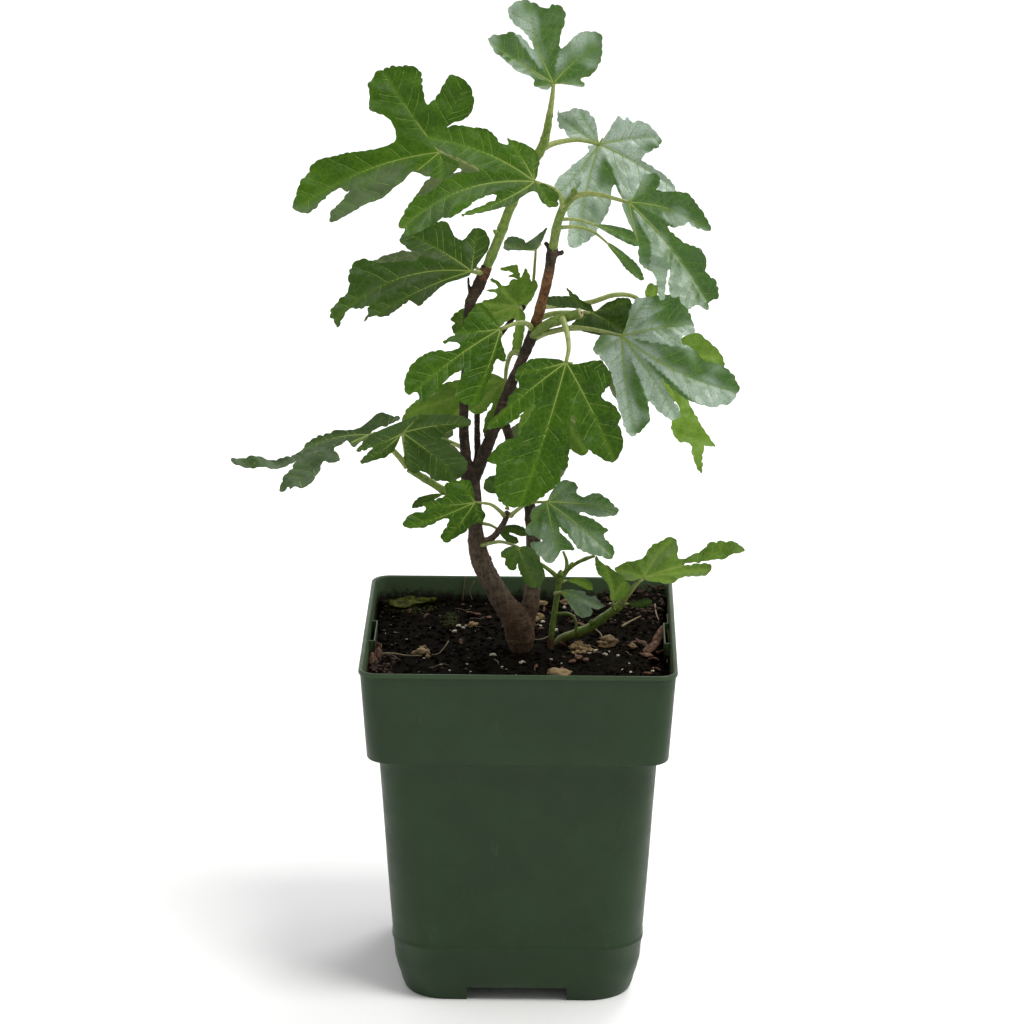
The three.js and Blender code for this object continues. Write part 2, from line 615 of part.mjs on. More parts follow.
// A thin blade: a strip of triangles on each side of every midrib, the strips
// of neighbouring lobes meeting at the sinus between them.
function bladeSolid(leaf) {
  const [baseX, baseV, baseY] = leaf.base;
  const flat = [new THREE.Vector2(baseX, baseV)];
  const put = (point) => flat.push(point) - 1;
  const lobes = leaf.lobes.map((lobe) => {
    const { curve, length } = midrib(leaf.base, lobe);
    const stations = length > 12 ? [0.36, 0.68, 0.9] : [0.45, 0.85];
    return { curve, length, width: lobe[2], neck: lobe[4] ?? NECK, stations };
  });
  const gaps = lobes.slice(0, -1).map((lobe, i) => sinus(lobe, lobes[i + 1]));
  const sinusIndex = gaps.map((gap) => put(gap.middle));
  const faces = [];
  const rims = lobes.map((lobe, i) => {
    const spine = [0, ...lobe.stations.map((f) => put(lobe.curve.getPoint(f)))];
    const tip = put(lobe.curve.getPoint(1));
    const edges = {};
    for (const [side, gap, sinusPoint, other] of [
      [1, gaps[i], sinusIndex[i], lobes[i + 1]], [-1, gaps[i - 1], sinusIndex[i - 1], lobes[i - 1]],
    ]) {
      const neck = gap ? gap.place / lobe.length : 0;
      const edge = [gap ? sinusPoint : 0];
      for (const f of lobe.stations) {
        if (f <= neck + 0.02) {
          edge.push(edge[edge.length - 1]);
          continue;
        }
        const along = lobe.curve.getTangent(f);
        const spot = lobe.curve.getPoint(f);
        let half = halfWidth(lobe, f, neck);
        if (other) {
          const near = other.curve.getPoint(Math.min(1, (f * lobe.length) / other.length));
          half = Math.min(half, Math.max(0.6, (near.distanceTo(spot) - SLIT) / 2));
        }
        edge.push(put(spot.add(new THREE.Vector2(-along.y, along.x).multiplyScalar(side * half))));
      }
      const inner = [...spine, tip];
      const outer = [...edge, tip];
      for (let k = 0; k + 1 < inner.length; k += 1) {
        const quad = [[inner[k], inner[k + 1], outer[k + 1]], [inner[k], outer[k + 1], outer[k]]];
        for (const face of quad) {
          if (new Set(face).size === 3) faces.push(side > 0 ? face : [face[0], face[2], face[1]]);
        }
      }
      edges[side] = edge.filter((v, k) => k === 0 || v !== edge[k - 1]);
    }
    return { right: edges[-1].slice(1), tip, left: edges[1].slice(1).reverse() };
  });
  const rim = [0];
  rims.forEach((r, i) => {
    rim.push(...r.right, r.tip, ...r.left);
    if (i < gaps.length) rim.push(sinusIndex[i]);
  });
  const reach = Math.max(...lobes.map((lobe) => lobe.length));
  const [acrossSlope, upSlope] = leaf.slope;
  const depthAt = (p) => {
    const dx = p.x - baseX;
    const dv = p.y - baseV;
    const out = (dx * dx + dv * dv) / (reach * reach);
    return baseY + acrossSlope * dx + upSlope * dv - leaf.sag * out;
  };
  const origin = sight(baseX, baseV, baseY);
  const across = sight(baseX + 1, baseV, baseY + acrossSlope).sub(origin);
  const upward = sight(baseX, baseV + 1, baseY + upSlope).sub(origin);
  const normal = across.cross(upward).normalize();
  const solid = flat.map((p) => sight(p.x, p.y, depthAt(p)));
  const front = solid.map((p) => p.clone().addScaledVector(normal, BLADE_THICKNESS / 2));
  const back = solid.map((p) => p.clone().addScaledVector(normal, -BLADE_THICKNESS / 2));
  const n = flat.length;
  const skinFaces = [...faces, ...faces.map(([a, b, c]) => [a + n, c + n, b + n])];
  rim.forEach((a, k) => {
    const b = rim[(k + 1) % rim.length];
    skinFaces.push([b, a, a + n], [b, a + n, b + n]);
  });
  return toSolid(meshFrom([...front, ...back], skinFaces));
}

// Blade and stalk as one piece, cut clear of the stems that carry them.
function leafSolid(leaf, clearance) {
  const stalk = [...leaf.stalk, leaf.base].map(([x, v, y]) => sight(x, v, y));
  const thick = leaf.thick ?? (leaf.lobes.length > 3 ? 1.3 : 0.9);
  const radii = stalk.map((_, i) => thick * (1 - (0.25 * i) / (stalk.length - 1)));
  let solid = bladeSolid(leaf).add(toSolid(limb(stalk, radii, STALK_SIDES, 1)));
  for (const stem of leaf.on) solid = solid.subtract(clearance[stem]);
  return largestBody(solid);
}

// ----------------------------------------------------------------- assembly
const LOOKS = {
  pot: new THREE.MeshStandardMaterial({ color: 0x1f3b28, roughness: 0.45, metalness: 0 }),
  soil: new THREE.MeshStandardMaterial({ color: 0x1d1713, roughness: 0.95, metalness: 0 }),
  bark: new THREE.MeshStandardMaterial({ color: 0x4a3329, roughness: 0.85, metalness: 0 }),
  green: new THREE.MeshStandardMaterial({ color: 0x6d7f35, roughness: 0.6, metalness: 0 }),
  leaf: new THREE.MeshStandardMaterial({ color: 0x3f7327, roughness: 0.4, metalness: 0 }),
};

const tree = new THREE.Group();

function place(name, geometry, look) {
  const mesh = new THREE.Mesh(geometry, LOOKS[look]);
  mesh.name = name;
  tree.add(mesh);
}

place("pot", buildPot(), "pot");
place("soil", buildSoil(), "soil");

const ground = groundBlock();
const clearance = {};
for (const [name, stem] of Object.entries(STEMS)) {
  clearance[name] = stemSolid(name, FIT);
  let solid = stemSolid(name).subtract(ground);
  for (const parent of stem.from ?? []) solid = solid.subtract(clearance[parent]);
  place(name, toGeometry(solid), stem.look);
}
for (const [name, leaf] of Object.entries(LEAVES)) {
  place(name, toGeometry(leafSolid(leaf, clearance)), "leaf");
}

export default tree;
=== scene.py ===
# %% [markdown]
# # A young fig tree in a square nursery pot
#
# The tree is a rooted fig cutting: two woody trunks from one root collar,
# a fork with two main boughs, green shoots at the top, and large lobed leaves
# on long stalks. It grows in a thin plastic nursery pot of peaty mix.
#
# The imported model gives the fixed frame. Every piece here is made in mesh code
# in that frame and replaces the plain solids it stands for.

import math
import random

import bmesh
import bpy
import numpy as np
from mathutils import Matrix, Vector, geometry, kdtree, noise


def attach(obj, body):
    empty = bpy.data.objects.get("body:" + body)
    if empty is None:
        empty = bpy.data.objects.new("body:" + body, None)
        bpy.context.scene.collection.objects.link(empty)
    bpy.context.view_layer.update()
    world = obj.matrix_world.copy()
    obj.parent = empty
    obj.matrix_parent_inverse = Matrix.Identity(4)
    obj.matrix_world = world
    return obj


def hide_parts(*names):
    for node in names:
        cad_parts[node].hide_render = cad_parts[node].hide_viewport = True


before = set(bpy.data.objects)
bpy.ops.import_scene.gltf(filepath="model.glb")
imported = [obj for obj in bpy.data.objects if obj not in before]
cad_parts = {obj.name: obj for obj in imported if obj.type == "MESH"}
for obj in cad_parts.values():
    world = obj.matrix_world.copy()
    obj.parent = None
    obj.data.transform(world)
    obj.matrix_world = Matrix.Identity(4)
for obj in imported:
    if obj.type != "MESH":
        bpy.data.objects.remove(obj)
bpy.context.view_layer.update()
MM = 0.001
DICE = random.Random(20)
print("packed nodes:", len(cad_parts))

# %% [markdown]
# ## The eye
#
# A potted plant is looked at from a little above. The eye stands 1.7 m back and
# looks 17 degrees down through a long lens, which keeps the pot's sides almost
# upright.
#
# A stem could be placed by x, y and z. It is hard to judge all three at once,
# so the eye point places the plant as well: a point is given by where its line
# of sight crosses the upright plane through the pot's middle, and by its own
# depth. Its outline from the front then stays put while its depth is settled.

# %% Camera
EYE = np.array([20.8, -1633.0, 700.6])
RIGHT = Vector((0.99986, 0.0161, 0.0041)).normalized()
AHEAD = Vector((-0.0142, 0.9551, -0.2960)).normalized()
UP = RIGHT.cross(AHEAD)
RIGHT = AHEAD.cross(UP)

camera_data = bpy.data.cameras.new("eye")
camera_data.sensor_width = 36
camera_data.lens = 148.07
camera_data.clip_start = 0.05
camera_data.clip_end = 60
camera = bpy.data.objects.new("eye", camera_data)
turn = Matrix((RIGHT, UP, -AHEAD)).transposed().to_4x4()
camera.matrix_world = Matrix.Translation(Vector(EYE * MM)) @ turn
scene = bpy.context.scene
scene.collection.objects.link(camera)
scene.camera = camera
print("the lens sees", round(math.degrees(camera_data.angle), 1), "degrees")


# %% Places by line of sight
def sight(across, height, depth):
    """Points in metres from sight-plane millimetres and depths."""
    across, height, depth = np.broadcast_arrays(
        np.asarray(across, float), np.asarray(height, float), np.asarray(depth, float))
    on_plane = np.stack([across, np.zeros_like(across), height], -1)
    reach = (depth - EYE[1]) / -EYE[1]
    return (EYE + (on_plane - EYE) * reach[..., None]) * MM


print("100 up, 20 behind the middle plane:", sight(0, 100, 20).round(4))

# %% [markdown]
# ## A kit for finishes
#
# Plastic, bark, leaf and peat each have a colour that drifts, a gloss that
# drifts with it and a fine relief. They could be wired one by one in the shader
# editor. A small class that adds nodes by short calls keeps each finish to a
# few lines that can be read next to each other. Pattern sizes are given in
# millimetres, because a pattern at the wrong scale spoils a good colour.


# %% Finishes kit
def srgb(*colour):
    """A linear colour from 0-255 display values."""
    return (*[v / 12.92 if v <= 0.04045 else ((v + 0.055) / 1.055) ** 2.4
              for v in (value / 255 for value in colour)], 1.0)


class Finish:
    """A material and its node tree, with short calls to add nodes."""

    def __init__(self, name, roughness=0.5, specular=0.5):
        self.material = bpy.data.materials.new(name)
        self.material.use_nodes = True
        self.tree = self.material.node_tree
        self.shader = self.tree.nodes["Principled BSDF"]
        self.shader.inputs["Roughness"].default_value = roughness
        self.shader.inputs["Specular IOR Level"].default_value = specular

    def add(self, kind, out=0, _props=None, **inputs):
        node = self.tree.nodes.new("ShaderNode" + kind)
        for key, value in (_props or {}).items():
            setattr(node, key, value)
        for key, value in inputs.items():
            self.wire(value, node.inputs[key.replace("_", " ")])
        return node.outputs[out]

    def wire(self, value, socket):
        """Links another node's output to a socket, or sets the socket."""
        if isinstance(value, bpy.types.NodeSocket):
            self.tree.links.new(value, socket)
        else:
            socket.default_value = value

    def place(self):
        return self.add("TexCoord", out="Object")

    def noise(self, size_mm, detail=3, rough=0.55, where=None):
        return self.add("TexNoise", out="Fac", Vector=where or self.place(),
                        Scale=1 / MM / size_mm, Detail=detail, Roughness=rough)

    def cells(self, size_mm):
        return self.add("TexVoronoi", out="Distance", _props={"feature": "DISTANCE_TO_EDGE"},
                        Vector=self.place(), Scale=1 / MM / size_mm)

    def steps(self, fac, low, high, to_low=0.0, to_high=1.0):
        return self.add("MapRange", _props={"interpolation_type": "SMOOTHSTEP"}, Value=fac,
                        From_Min=low, From_Max=high, To_Min=to_low, To_Max=to_high)

    def maths(self, operation, one, other):
        node = self.tree.nodes.new("ShaderNodeMath")
        node.operation = operation
        self.wire(one, node.inputs[0])
        self.wire(other, node.inputs[1])
        return node.outputs[0]

    def times(self, one, other):
        return self.maths("MULTIPLY", one, other)

    def plus(self, one, other):
        return self.maths("ADD", one, other)

    def mix(self, fac, one, other):
        """From one colour to the other; a plain tuple is in 0-255 display values."""
        node = self.tree.nodes.new("ShaderNodeMix")
        node.data_type = "RGBA"
        for value, socket in ((fac, 0), (one, 6), (other, 7)):
            self.wire(srgb(*value) if isinstance(value, tuple) else value, node.inputs[socket])
        return node.outputs[2]

    def stretched(self, x=1.0, y=1.0, z=1.0):
        return self.add("Mapping", Vector=self.place(), Scale=(x, y, z))

    def colour(self, socket):
        self.tree.links.new(socket, self.shader.inputs["Base Color"])

    def roughness(self, socket):
        self.tree.links.new(socket, self.shader.inputs["Roughness"])

    def bump(self, height, depth_mm, strength=0.6):
        socket = self.add("Bump", out="Normal", Height=height, Strength=strength,
                          Distance=depth_mm * MM)
        self.tree.links.new(socket, self.shader.inputs["Normal"])

    def mark(self, label):
        """The number that a piece's points carry under this label."""
        return self.add("Attribute", out="Fac", _props={"attribute_name": label})


print("mid grey is", round(srgb(128, 128, 128)[0], 3), "in linear light")


def two_tone(name, look, tones, dark, light, grain, relief, steps=None):
    """A plain finish: two tones that drift into each other, over a fine grain."""
    finish = Finish(name, *look)
    drift = finish.noise(*tones)
    finish.colour(finish.mix(finish.steps(drift, *steps) if steps else drift, dark, light))
    finish.bump(finish.noise(*grain), *relief)
    return finish


# %% [markdown]
# ## A kit for pieces
#
# Leaves and crumbs come by the dozen and by the thousand. One object for each
# would be slow, and scattered copies don't survive an export. So all pieces of
# one kind are gathered in a heap of points and faces, and built as one mesh.
#
# A heap also carries marks, one number for each point: how far inside the pot
# it is, how near a vein, how red the bark. A finish reads its mark and puts its
# colour where it belongs, with no painted image.


# %% A heap of points and faces
def smooth_step(value, low, high):
    t = np.clip((value - low) / (high - low), 0, 1)
    return t * t * (3 - 2 * t)


def band(value, low, full, fade, high):
    """Rises from low to full and falls from fade to high."""
    return smooth_step(value, low, full) * (1 - smooth_step(value, fade, high))


class Heap:
    """Vertices and faces gathered from many parts into one piece."""

    def __init__(self):
        self.points = []
        self.faces = []
        self.corners = []
        self.slots = []
        self.marks = {}
        self.count = 0

    def add(self, points, faces, corners=(), slot=0, marks=None):
        points = np.asarray(points, float)
        self.points.append(points)
        for label, values in (marks or {}).items():
            self.marks.setdefault(label, []).append(np.broadcast_to(values, len(points)))
        self.faces += [[int(v) + self.count for v in face] for face in faces]
        self.slots += slot if isinstance(slot, list) else [slot] * len(faces)
        self.corners += [corner for face in corners for corner in face]
        self.count += len(points)

    def build(self, name, finishes, replaces=(), slot=None, sharp=None):
        mesh = bpy.data.meshes.new(name)
        mesh.from_pydata(np.concatenate(self.points).tolist(), [], self.faces)
        for finish in finishes:
            mesh.materials.append(finish.material)
        mesh.polygons.foreach_set("material_index", self.slots)
        mesh.polygons.foreach_set("use_smooth", [True] * len(mesh.polygons))
        if self.corners:
            layer = mesh.uv_layers.new(name="OFBake")
            layer.data.foreach_set("uv", np.asarray(self.corners, float).ravel())
        for label, values in self.marks.items():
            layer = mesh.attributes.new(label, "FLOAT", "POINT")
            layer.data.foreach_set("value", np.concatenate(values))
        mesh.update()
        if sharp:
            mesh.set_sharp_from_angle(angle=math.radians(sharp))
        return dress(bpy.data.objects.new(name, mesh), replaces)


def dress(piece, replaces=()):
    """Puts a piece in the scene, on the body, in place of its plain solids."""
    if piece.name not in scene.collection.objects:
        scene.collection.objects.link(piece)
    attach(piece, "root")
    if replaces:
        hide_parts(*replaces)
    print(piece.name, len(piece.data.polygons), "faces")
    return piece


print("half way up a smooth step:", float(smooth_step(0.5, 0, 1)))


# %% Skins and round limbs
def turned_over(faces):
    """The same faces seen from their other side."""
    return [(face[0], *face[:0:-1]) for face in faces]


def loft(rings):
    """A skin through rings of points, closed at both ends by a fan round a hub."""
    count = len(rings[0])
    top = (len(rings) - 1) * count
    low_hub, top_hub = top + count, top + count + 1
    pairs = [(i, (i + 1) % count) for i in range(count)]
    faces = [(r + a, r + b, r + b + count, r + a + count)
             for r in range(0, top, count) for a, b in pairs]
    faces += [(b, a, low_hub) for a, b in pairs]
    faces += [(top + a, top + b, top_hub) for a, b in pairs]
    return np.vstack([*rings, rings[0].mean(0), rings[-1].mean(0)]), faces


def spread(items, count):
    """A table's rows resampled evenly along a smooth curve."""
    items = np.asarray(items, float)
    if len(items) == 2:
        return items[0] + (items[1] - items[0]) * np.linspace(0, 1, count)[:, None]
    padded = np.vstack([2 * items[0] - items[1], items, 2 * items[-1] - items[-2]])
    spans = len(items) - 1
    u = np.linspace(0, spans, count)
    i = np.minimum(u.astype(int), spans - 1)
    t = (u - i)[:, None]
    a, b, c, d = padded[i], padded[i + 1], padded[i + 2], padded[i + 3]
    return 0.5 * (2 * b + (c - a) * t + (2 * a - 5 * b + 4 * c - d) * t ** 2
                  + (3 * b - a - 3 * c + d) * t ** 3)


def run_along(line):
    """The length from a line's start to each of its points."""
    return np.concatenate([[0], np.cumsum(np.linalg.norm(np.diff(line, axis=0), axis=1))])


def tube(path, radii, sides, lift=None):
    """A closed round limb: points in metres, radii in millimetres.

    With a lift, each ring starts square to that direction."""
    radii = np.broadcast_to(np.asarray(radii, float) * MM, (len(path),))
    along = np.gradient(path, axis=0)
    along /= np.linalg.norm(along, axis=1)[:, None]
    start = np.array([1.0, 0, 0]) if abs(along[0][0]) < 0.9 else np.array([0, 0, 1.0])
    side = np.cross(along[0], start)
    angle = 2 * math.pi * np.arange(sides)[:, None] / sides
    rings = []
    for k in range(len(path)):
        if lift is not None:
            side = np.cross(along[k], lift)
        side = side - along[k] * side.dot(along[k])
        side /= np.linalg.norm(side) + 1e-12
        other = np.cross(side, along[k])
        rings.append(path[k] + radii[k] * (np.cos(angle) * side + np.sin(angle) * other))
    points, faces = loft(rings)
    return points, turned_over(faces)


print("a limb of 3 stations and 8 sides:", len(tube(np.eye(3), 0.1, 8)[1]), "faces")

# %% [markdown]
# ## The pot
#
# A thin vacuum-formed nursery pot: a tall plain collar with a lip whose
# top carries a painted highlight, a body that tapers in, a skirt with a notch in
# each side, and a floor held off the ground. Such a pot is drawn from one warm
# sheet, so its wall is one even skin.
#
# It could be a cube with loop cuts and a thickness added to it, but its corner
# radius grows from collar to foot, which is easier to say than to model. So it
# is lofted through rounded squares, each with its own size, corner and height:
# from the skirt's inside, up the outside, over the lip and down to the floor.

# %% Pot sizes
RIM_HALF, POT_HEIGHT, COLLAR_FOOT = 63.5, 146.5, 107.5
COLLAR_FOOT_HALF, BODY_TOP_HALF = 60.6, 56.4
BODY_LOW_HALF, BODY_LOW_HEIGHT, FOOT_HALF = 50.2, 15.0, 46.5
WALL = 1.3
FLOOR_UNDERSIDE, FLOOR_TOP, NOTCH_HALF = 5.6, 7.0, 20.0
SOIL_LEVEL = 135.0
print("the pot is", 2 * RIM_HALF, "mm square and", POT_HEIGHT, "mm tall")


# %% Rounded squares
def square_ring(half, corner, height, notch=False):
    """Points of a rounded square, with stops at the notch's edges."""
    centre = half - corner
    along = [-NOTCH_HALF - 0.5, -NOTCH_HALF, -12, -4, 4, 12, NOTCH_HALF, NOTCH_HALF + 0.5]
    side = [-(centre + NOTCH_HALF) / 2, *along, (centre + NOTCH_HALF) / 2]
    ring = []
    for quarter in range(4):
        angle = quarter * math.pi / 2
        cos, sin = math.cos(angle), math.sin(angle)
        turned = np.array([[cos, -sin], [sin, cos]])
        points = [(half, s) for s in side]
        for k in range(11):
            bend = math.pi / 2 * k / 10
            points.append((centre + corner * math.cos(bend), centre + corner * math.sin(bend)))
        for k, point in enumerate(points):
            x, y = turned @ np.array(point)
            in_notch = notch and k < len(side) and abs(side[k]) <= NOTCH_HALF
            ring.append((x, y, FLOOR_UNDERSIDE if in_notch else height))
    return np.array(ring)


def wall_between(height, low, high, low_corner, high_corner):
    """Half-width and corner radius at a height between two levels."""
    t = (height - low[1]) / (high[1] - low[1])
    return low[0] + (high[0] - low[0]) * t, low_corner + (high_corner - low_corner) * t


print("a rounded square has", len(square_ring(60, 9, 0)), "points")

# %% Pot wall
# half-width, corner radius and height of each ring, from the skirt's inside up
SKIRT = (
    (FOOT_HALF - WALL, 16.6, 0.3), (FOOT_HALF - 0.9, 17, 0), (FOOT_HALF - 0.3, 17.6, 0),
    (FOOT_HALF, 18, 0.4), (FOOT_HALF + 0.9, 18.2, 3))
FOOT_FLARE = (
    (FOOT_HALF + 1.6, 18.4, 6.2), (FOOT_HALF + 2.7, 18.8, 10), (BODY_LOW_HALF, 19, BODY_LOW_HEIGHT))
COLLAR_STEP = (
    (BODY_TOP_HALF + 0.3, 12.6, COLLAR_FOOT - 0.2), (COLLAR_FOOT_HALF - 0.8, 9.4, COLLAR_FOOT),
    (COLLAR_FOOT_HALF - 0.2, 9.1, COLLAR_FOOT + 0.25),
    (COLLAR_FOOT_HALF, 9, COLLAR_FOOT + 0.9))
LIP_AND_INSIDE = (
    (RIM_HALF - 0.7, 7, 144.4), (RIM_HALF - 0.1, 7.6, 144.7), (RIM_HALF, 7.7, 145.3),
    (RIM_HALF - 0.1, 7.6, 146.1), (RIM_HALF - 0.5, 7.2, POT_HEIGHT),
    (RIM_HALF - 1.2, 6.5, POT_HEIGHT - 0.1), (RIM_HALF - 1.7, 6, 145.9),
    (RIM_HALF - 0.7 - WALL, 5.7, 144.8), (COLLAR_FOOT_HALF - WALL + 1.2, 7.2, 125),
    (COLLAR_FOOT_HALF - WALL, 7.7, COLLAR_FOOT + WALL),
    (BODY_TOP_HALF - WALL, 11.7, COLLAR_FOOT + WALL - 0.4),
    (BODY_LOW_HALF - WALL, 17.7, BODY_LOW_HEIGHT), (FOOT_HALF - WALL, 16.6, FLOOR_TOP))
# a level, and how far the bead there stands proud of the body
BEAD = ((22.6, 0), (23.3, 0.35), (24.5, 0.45), (25.2, 0.1), (26, 0), (40, 0), (60, 0), (85, 0),
        (101, 0), (106, 0))

rings = [square_ring(FOOT_HALF - WALL, 16.6, FLOOR_UNDERSIDE)]
rings += [square_ring(*row, notch=True) for row in SKIRT]
rings += [square_ring(*row) for row in FOOT_FLARE]
for height, proud in BEAD:
    half, corner = wall_between(
        height, (BODY_LOW_HALF, BODY_LOW_HEIGHT), (BODY_TOP_HALF, COLLAR_FOOT), 19, 13)
    rings.append(square_ring(half + proud, corner, height))
rings += [square_ring(*row) for row in COLLAR_STEP]
for height in (115, 125, 135, 141):
    half, corner = wall_between(
        height, (COLLAR_FOOT_HALF, COLLAR_FOOT + 0.9), (RIM_HALF - 0.7, 144.4), 9, 7)
    rings.append(square_ring(half, corner, height))
rings += [square_ring(*row) for row in LIP_AND_INSIDE]
pot = Heap()
points, faces = loft(rings)
# A drawn sheet is never quite flat: the long walls belly by a fraction.
x, y, z = points.T
belly = 0.35 * np.sin(x / 17 + 1) * np.sin(y / 19) * np.sin(z / 23)
points[:, :2] *= (1 + belly / 60)[:, None]
# the lip's top gets 0.4 of the paler inner colour as a painted highlight; the inside gets all of it
INNER_RING, LIP_HIGHLIGHT_RING = 34, 29
inside = np.zeros(len(rings))
inside[LIP_HIGHLIGHT_RING:], inside[INNER_RING:] = 0.4, 1
inside = np.concatenate([np.repeat(inside, len(rings[0])), [0, 1]])
pot.add(points * MM, faces, marks={"inside": inside})
print("the wall is lofted through", len(rings), "rings")


# %% Feet and label slots
def block(low, high, bevel=0.4):
    """A moulded block with softened edges, in millimetres."""
    (x0, y0, z0), (x1, y1, z1) = low, high
    rings = []
    for inset, z in ((bevel, z0), (0, z0 + bevel), (0, z1 - bevel), (bevel, z1)):
        rings.append(np.array([
            (x0 + inset, y0 + inset, z), (x1 - inset, y0 + inset, z),
            (x1 - inset, y1 - inset, z), (x0 + inset, y1 - inset, z)]))
    points, faces = loft(rings)
    return points * MM, faces


for x0, x1, y0, y1 in ((-11.5, 2.6, -7, 7), (-21.5, -13, -31, -22), (10.8, 18.6, -31, -22)):
    pot.add(*block((x0, y0, 0), (x1, y1, FLOOR_UNDERSIDE + 0.4)), marks={"inside": 0})
# Label slots inside the two side walls: a strip held off the wall by its ends.
SLOT_AT, SLOT_LOW, SLOT_HIGH = 60.2, 126, 143.2
STRIP_AND_ENDS = ((-13, 13, -1.3, -0.8), (-13, -12.4, -1.2, 1.4), (12.4, 13, -1.2, 1.4))
for side in (-1, 1):
    for y0, y1, near, far in STRIP_AND_ENDS:
        low, high = sorted((side * (SLOT_AT + near), side * (SLOT_AT + far)))
        strip = block((low, y0, SLOT_LOW), (high, y1, SLOT_HIGH), 0.15)
        pot.add(*strip, marks={"inside": 1})
print("points in the pot:", pot.count)

# %% [markdown]
# ## Pot plastic
#
# The plastic is a dark, slightly yellow green, half dull, with faint upright
# scuffs, a little dust and a very fine grain. It could be one green with a
# roughness. The cloud of two near greens and the drifting gloss keep the broad
# walls from looking printed. The inside is paler, the lip's top has a painted
# highlight in part of that paler colour, and mud has splashed the inside just
# above the soil, which its mark and its height settle.

# %% Pot plastic
plastic = Finish("pot_plastic", 0.46, 0.25)
grain = plastic.noise(26, 4)
scuff = plastic.steps(plastic.noise(5, 6, 0.7, plastic.stretched(1, 1, 0.25)), 0.62, 0.72)
dust = plastic.steps(plastic.noise(1.1, 3, 0.6), 0.66, 0.74)
body = plastic.mix(plastic.steps(grain, 0.3, 0.7), (31, 51, 26), (34, 56, 28))
body = plastic.mix(plastic.times(scuff, 0.22), body, (66, 84, 58))
body = plastic.mix(plastic.times(dust, 0.25), body, (84, 92, 72))
inner_wall_and_lip_highlight = plastic.mark("inside")
# paler inside wall, and a painted highlight on the lip's top
body = plastic.mix(plastic.times(inner_wall_and_lip_highlight, 0.7), body, (80, 100, 70))
level = plastic.plus(plastic.add("SeparateXYZ", out="Z", Vector=plastic.place()),
                     plastic.times(plastic.noise(3, 5, 0.7), -0.012))
splash = plastic.times(plastic.steps(level, 0.131, 0.136, 1, 0), inner_wall_and_lip_highlight)
body = plastic.mix(splash, body, (24, 20, 14))
plastic.colour(body)
plastic.roughness(plastic.steps(plastic.noise(9, 5), 0.3, 0.7, 0.36, 0.5))
plastic.bump(plastic.noise(0.9, 3), 0.05, 0.35)
pot.build("nursery_pot", [plastic], ["pot"], "pot", sharp=38)

# %% [markdown]
# ## Stems
#
# Two trunks rise from one root collar. The left one forks into two main boughs
# that end in this year's green shoots, and two green suckers grow beside it.
#
# A stem could be a bevelled curve. Tubes of the builder's own can be joined and
# marked point by point, so each stem is a row of stations: across, height,
# depth and radius, in millimetres, with a smooth curve between them.

# %% Woody stems, station by station
WOOD = {
    "trunk": [
        (0.4, 132.6, 0, 2.6), (0.3, 134.4, 0, 4), (0.2, 137.5, 0, 5.2), (0, 142, 0, 5.9),
        (-1.5, 148, 0, 5.9), (-7, 156, 0, 4.6), (-12, 165, 0, 4.2), (-16.8, 176, 0, 4),
        (-18.4, 188, 0, 3.1), (-18.8, 199, 0, 3.1), (-20.5, 209, 0, 3.7), (-20.5, 214, 0, 2.7)],
    "second": [
        (1, 140, 1, 4.2), (2.6, 149, 2, 3.8), (4.7, 158, 4, 3.5), (5.2, 170, 8, 3),
        (4.4, 190, 12, 2.5), (2, 207, 14, 2.2), (-3, 221, 15, 2), (-6.5, 232, 15, 1.7)],
    "left": [
        (-20.4, 208, 0, 2.3), (-22.6, 221, 1, 2.1), (-23, 240, 2, 1.9), (-22, 262, 3, 1.9),
        (-21, 280, 4, 2.1), (-17.6, 288, 4, 2.5), (-13.8, 297, 5, 2.3)],
    "right": [
        (-19.6, 207, 0, 2.6), (-14.5, 220, -1, 2.6), (-10, 232, -2, 2.3), (-5, 246, -4, 2.2),
        (0, 258, -6, 2.1), (4, 268, -8, 2.4), (7.5, 280, -10, 2.1), (10.5, 293, -12, 2.1),
        (12.3, 305, -13, 2.2)],
    "thin": [
        (-19.5, 210, 1, 1.5), (-17.6, 219, 5, 1.3), (-17.3, 240, 9, 1.2), (-12, 262, 14, 1.1),
        (-4, 275, 17, 1.1), (1, 281, 18, 1.3)],
    "twig": [
        (-16.5, 181, 0, 1.7), (-12, 183, -4, 1.4), (-8.5, 187, -9, 1.3), (-6.2, 191, -12, 1.2),
        (-5.5, 194.5, -14, 1.3)],
    "stub_low": [(4.5, 182, 10, 1.5), (7.8, 183.2, 9, 1.3)],
    "stub_left": [(-20.6, 285, 4, 0.7), (-21.2, 290, 3, 0.6), (-21.3, 292.5, 3, 0.5)],
    "snag_left": [(11.6, 304, -13, 1.1), (9.2, 307, -12, 0.8)],
    "snag_right": [(12.8, 301.5, -13, 1), (16.6, 303.2, -12, 0.9)],
    "snag_mid": [(-14.2, 297, 5, 1.0), (-10.8, 301.5, 6, 0.7)],
}
WOOD_STEP, WOOD_SIDES = 1.2, 14
print("woody stems:", len(WOOD))

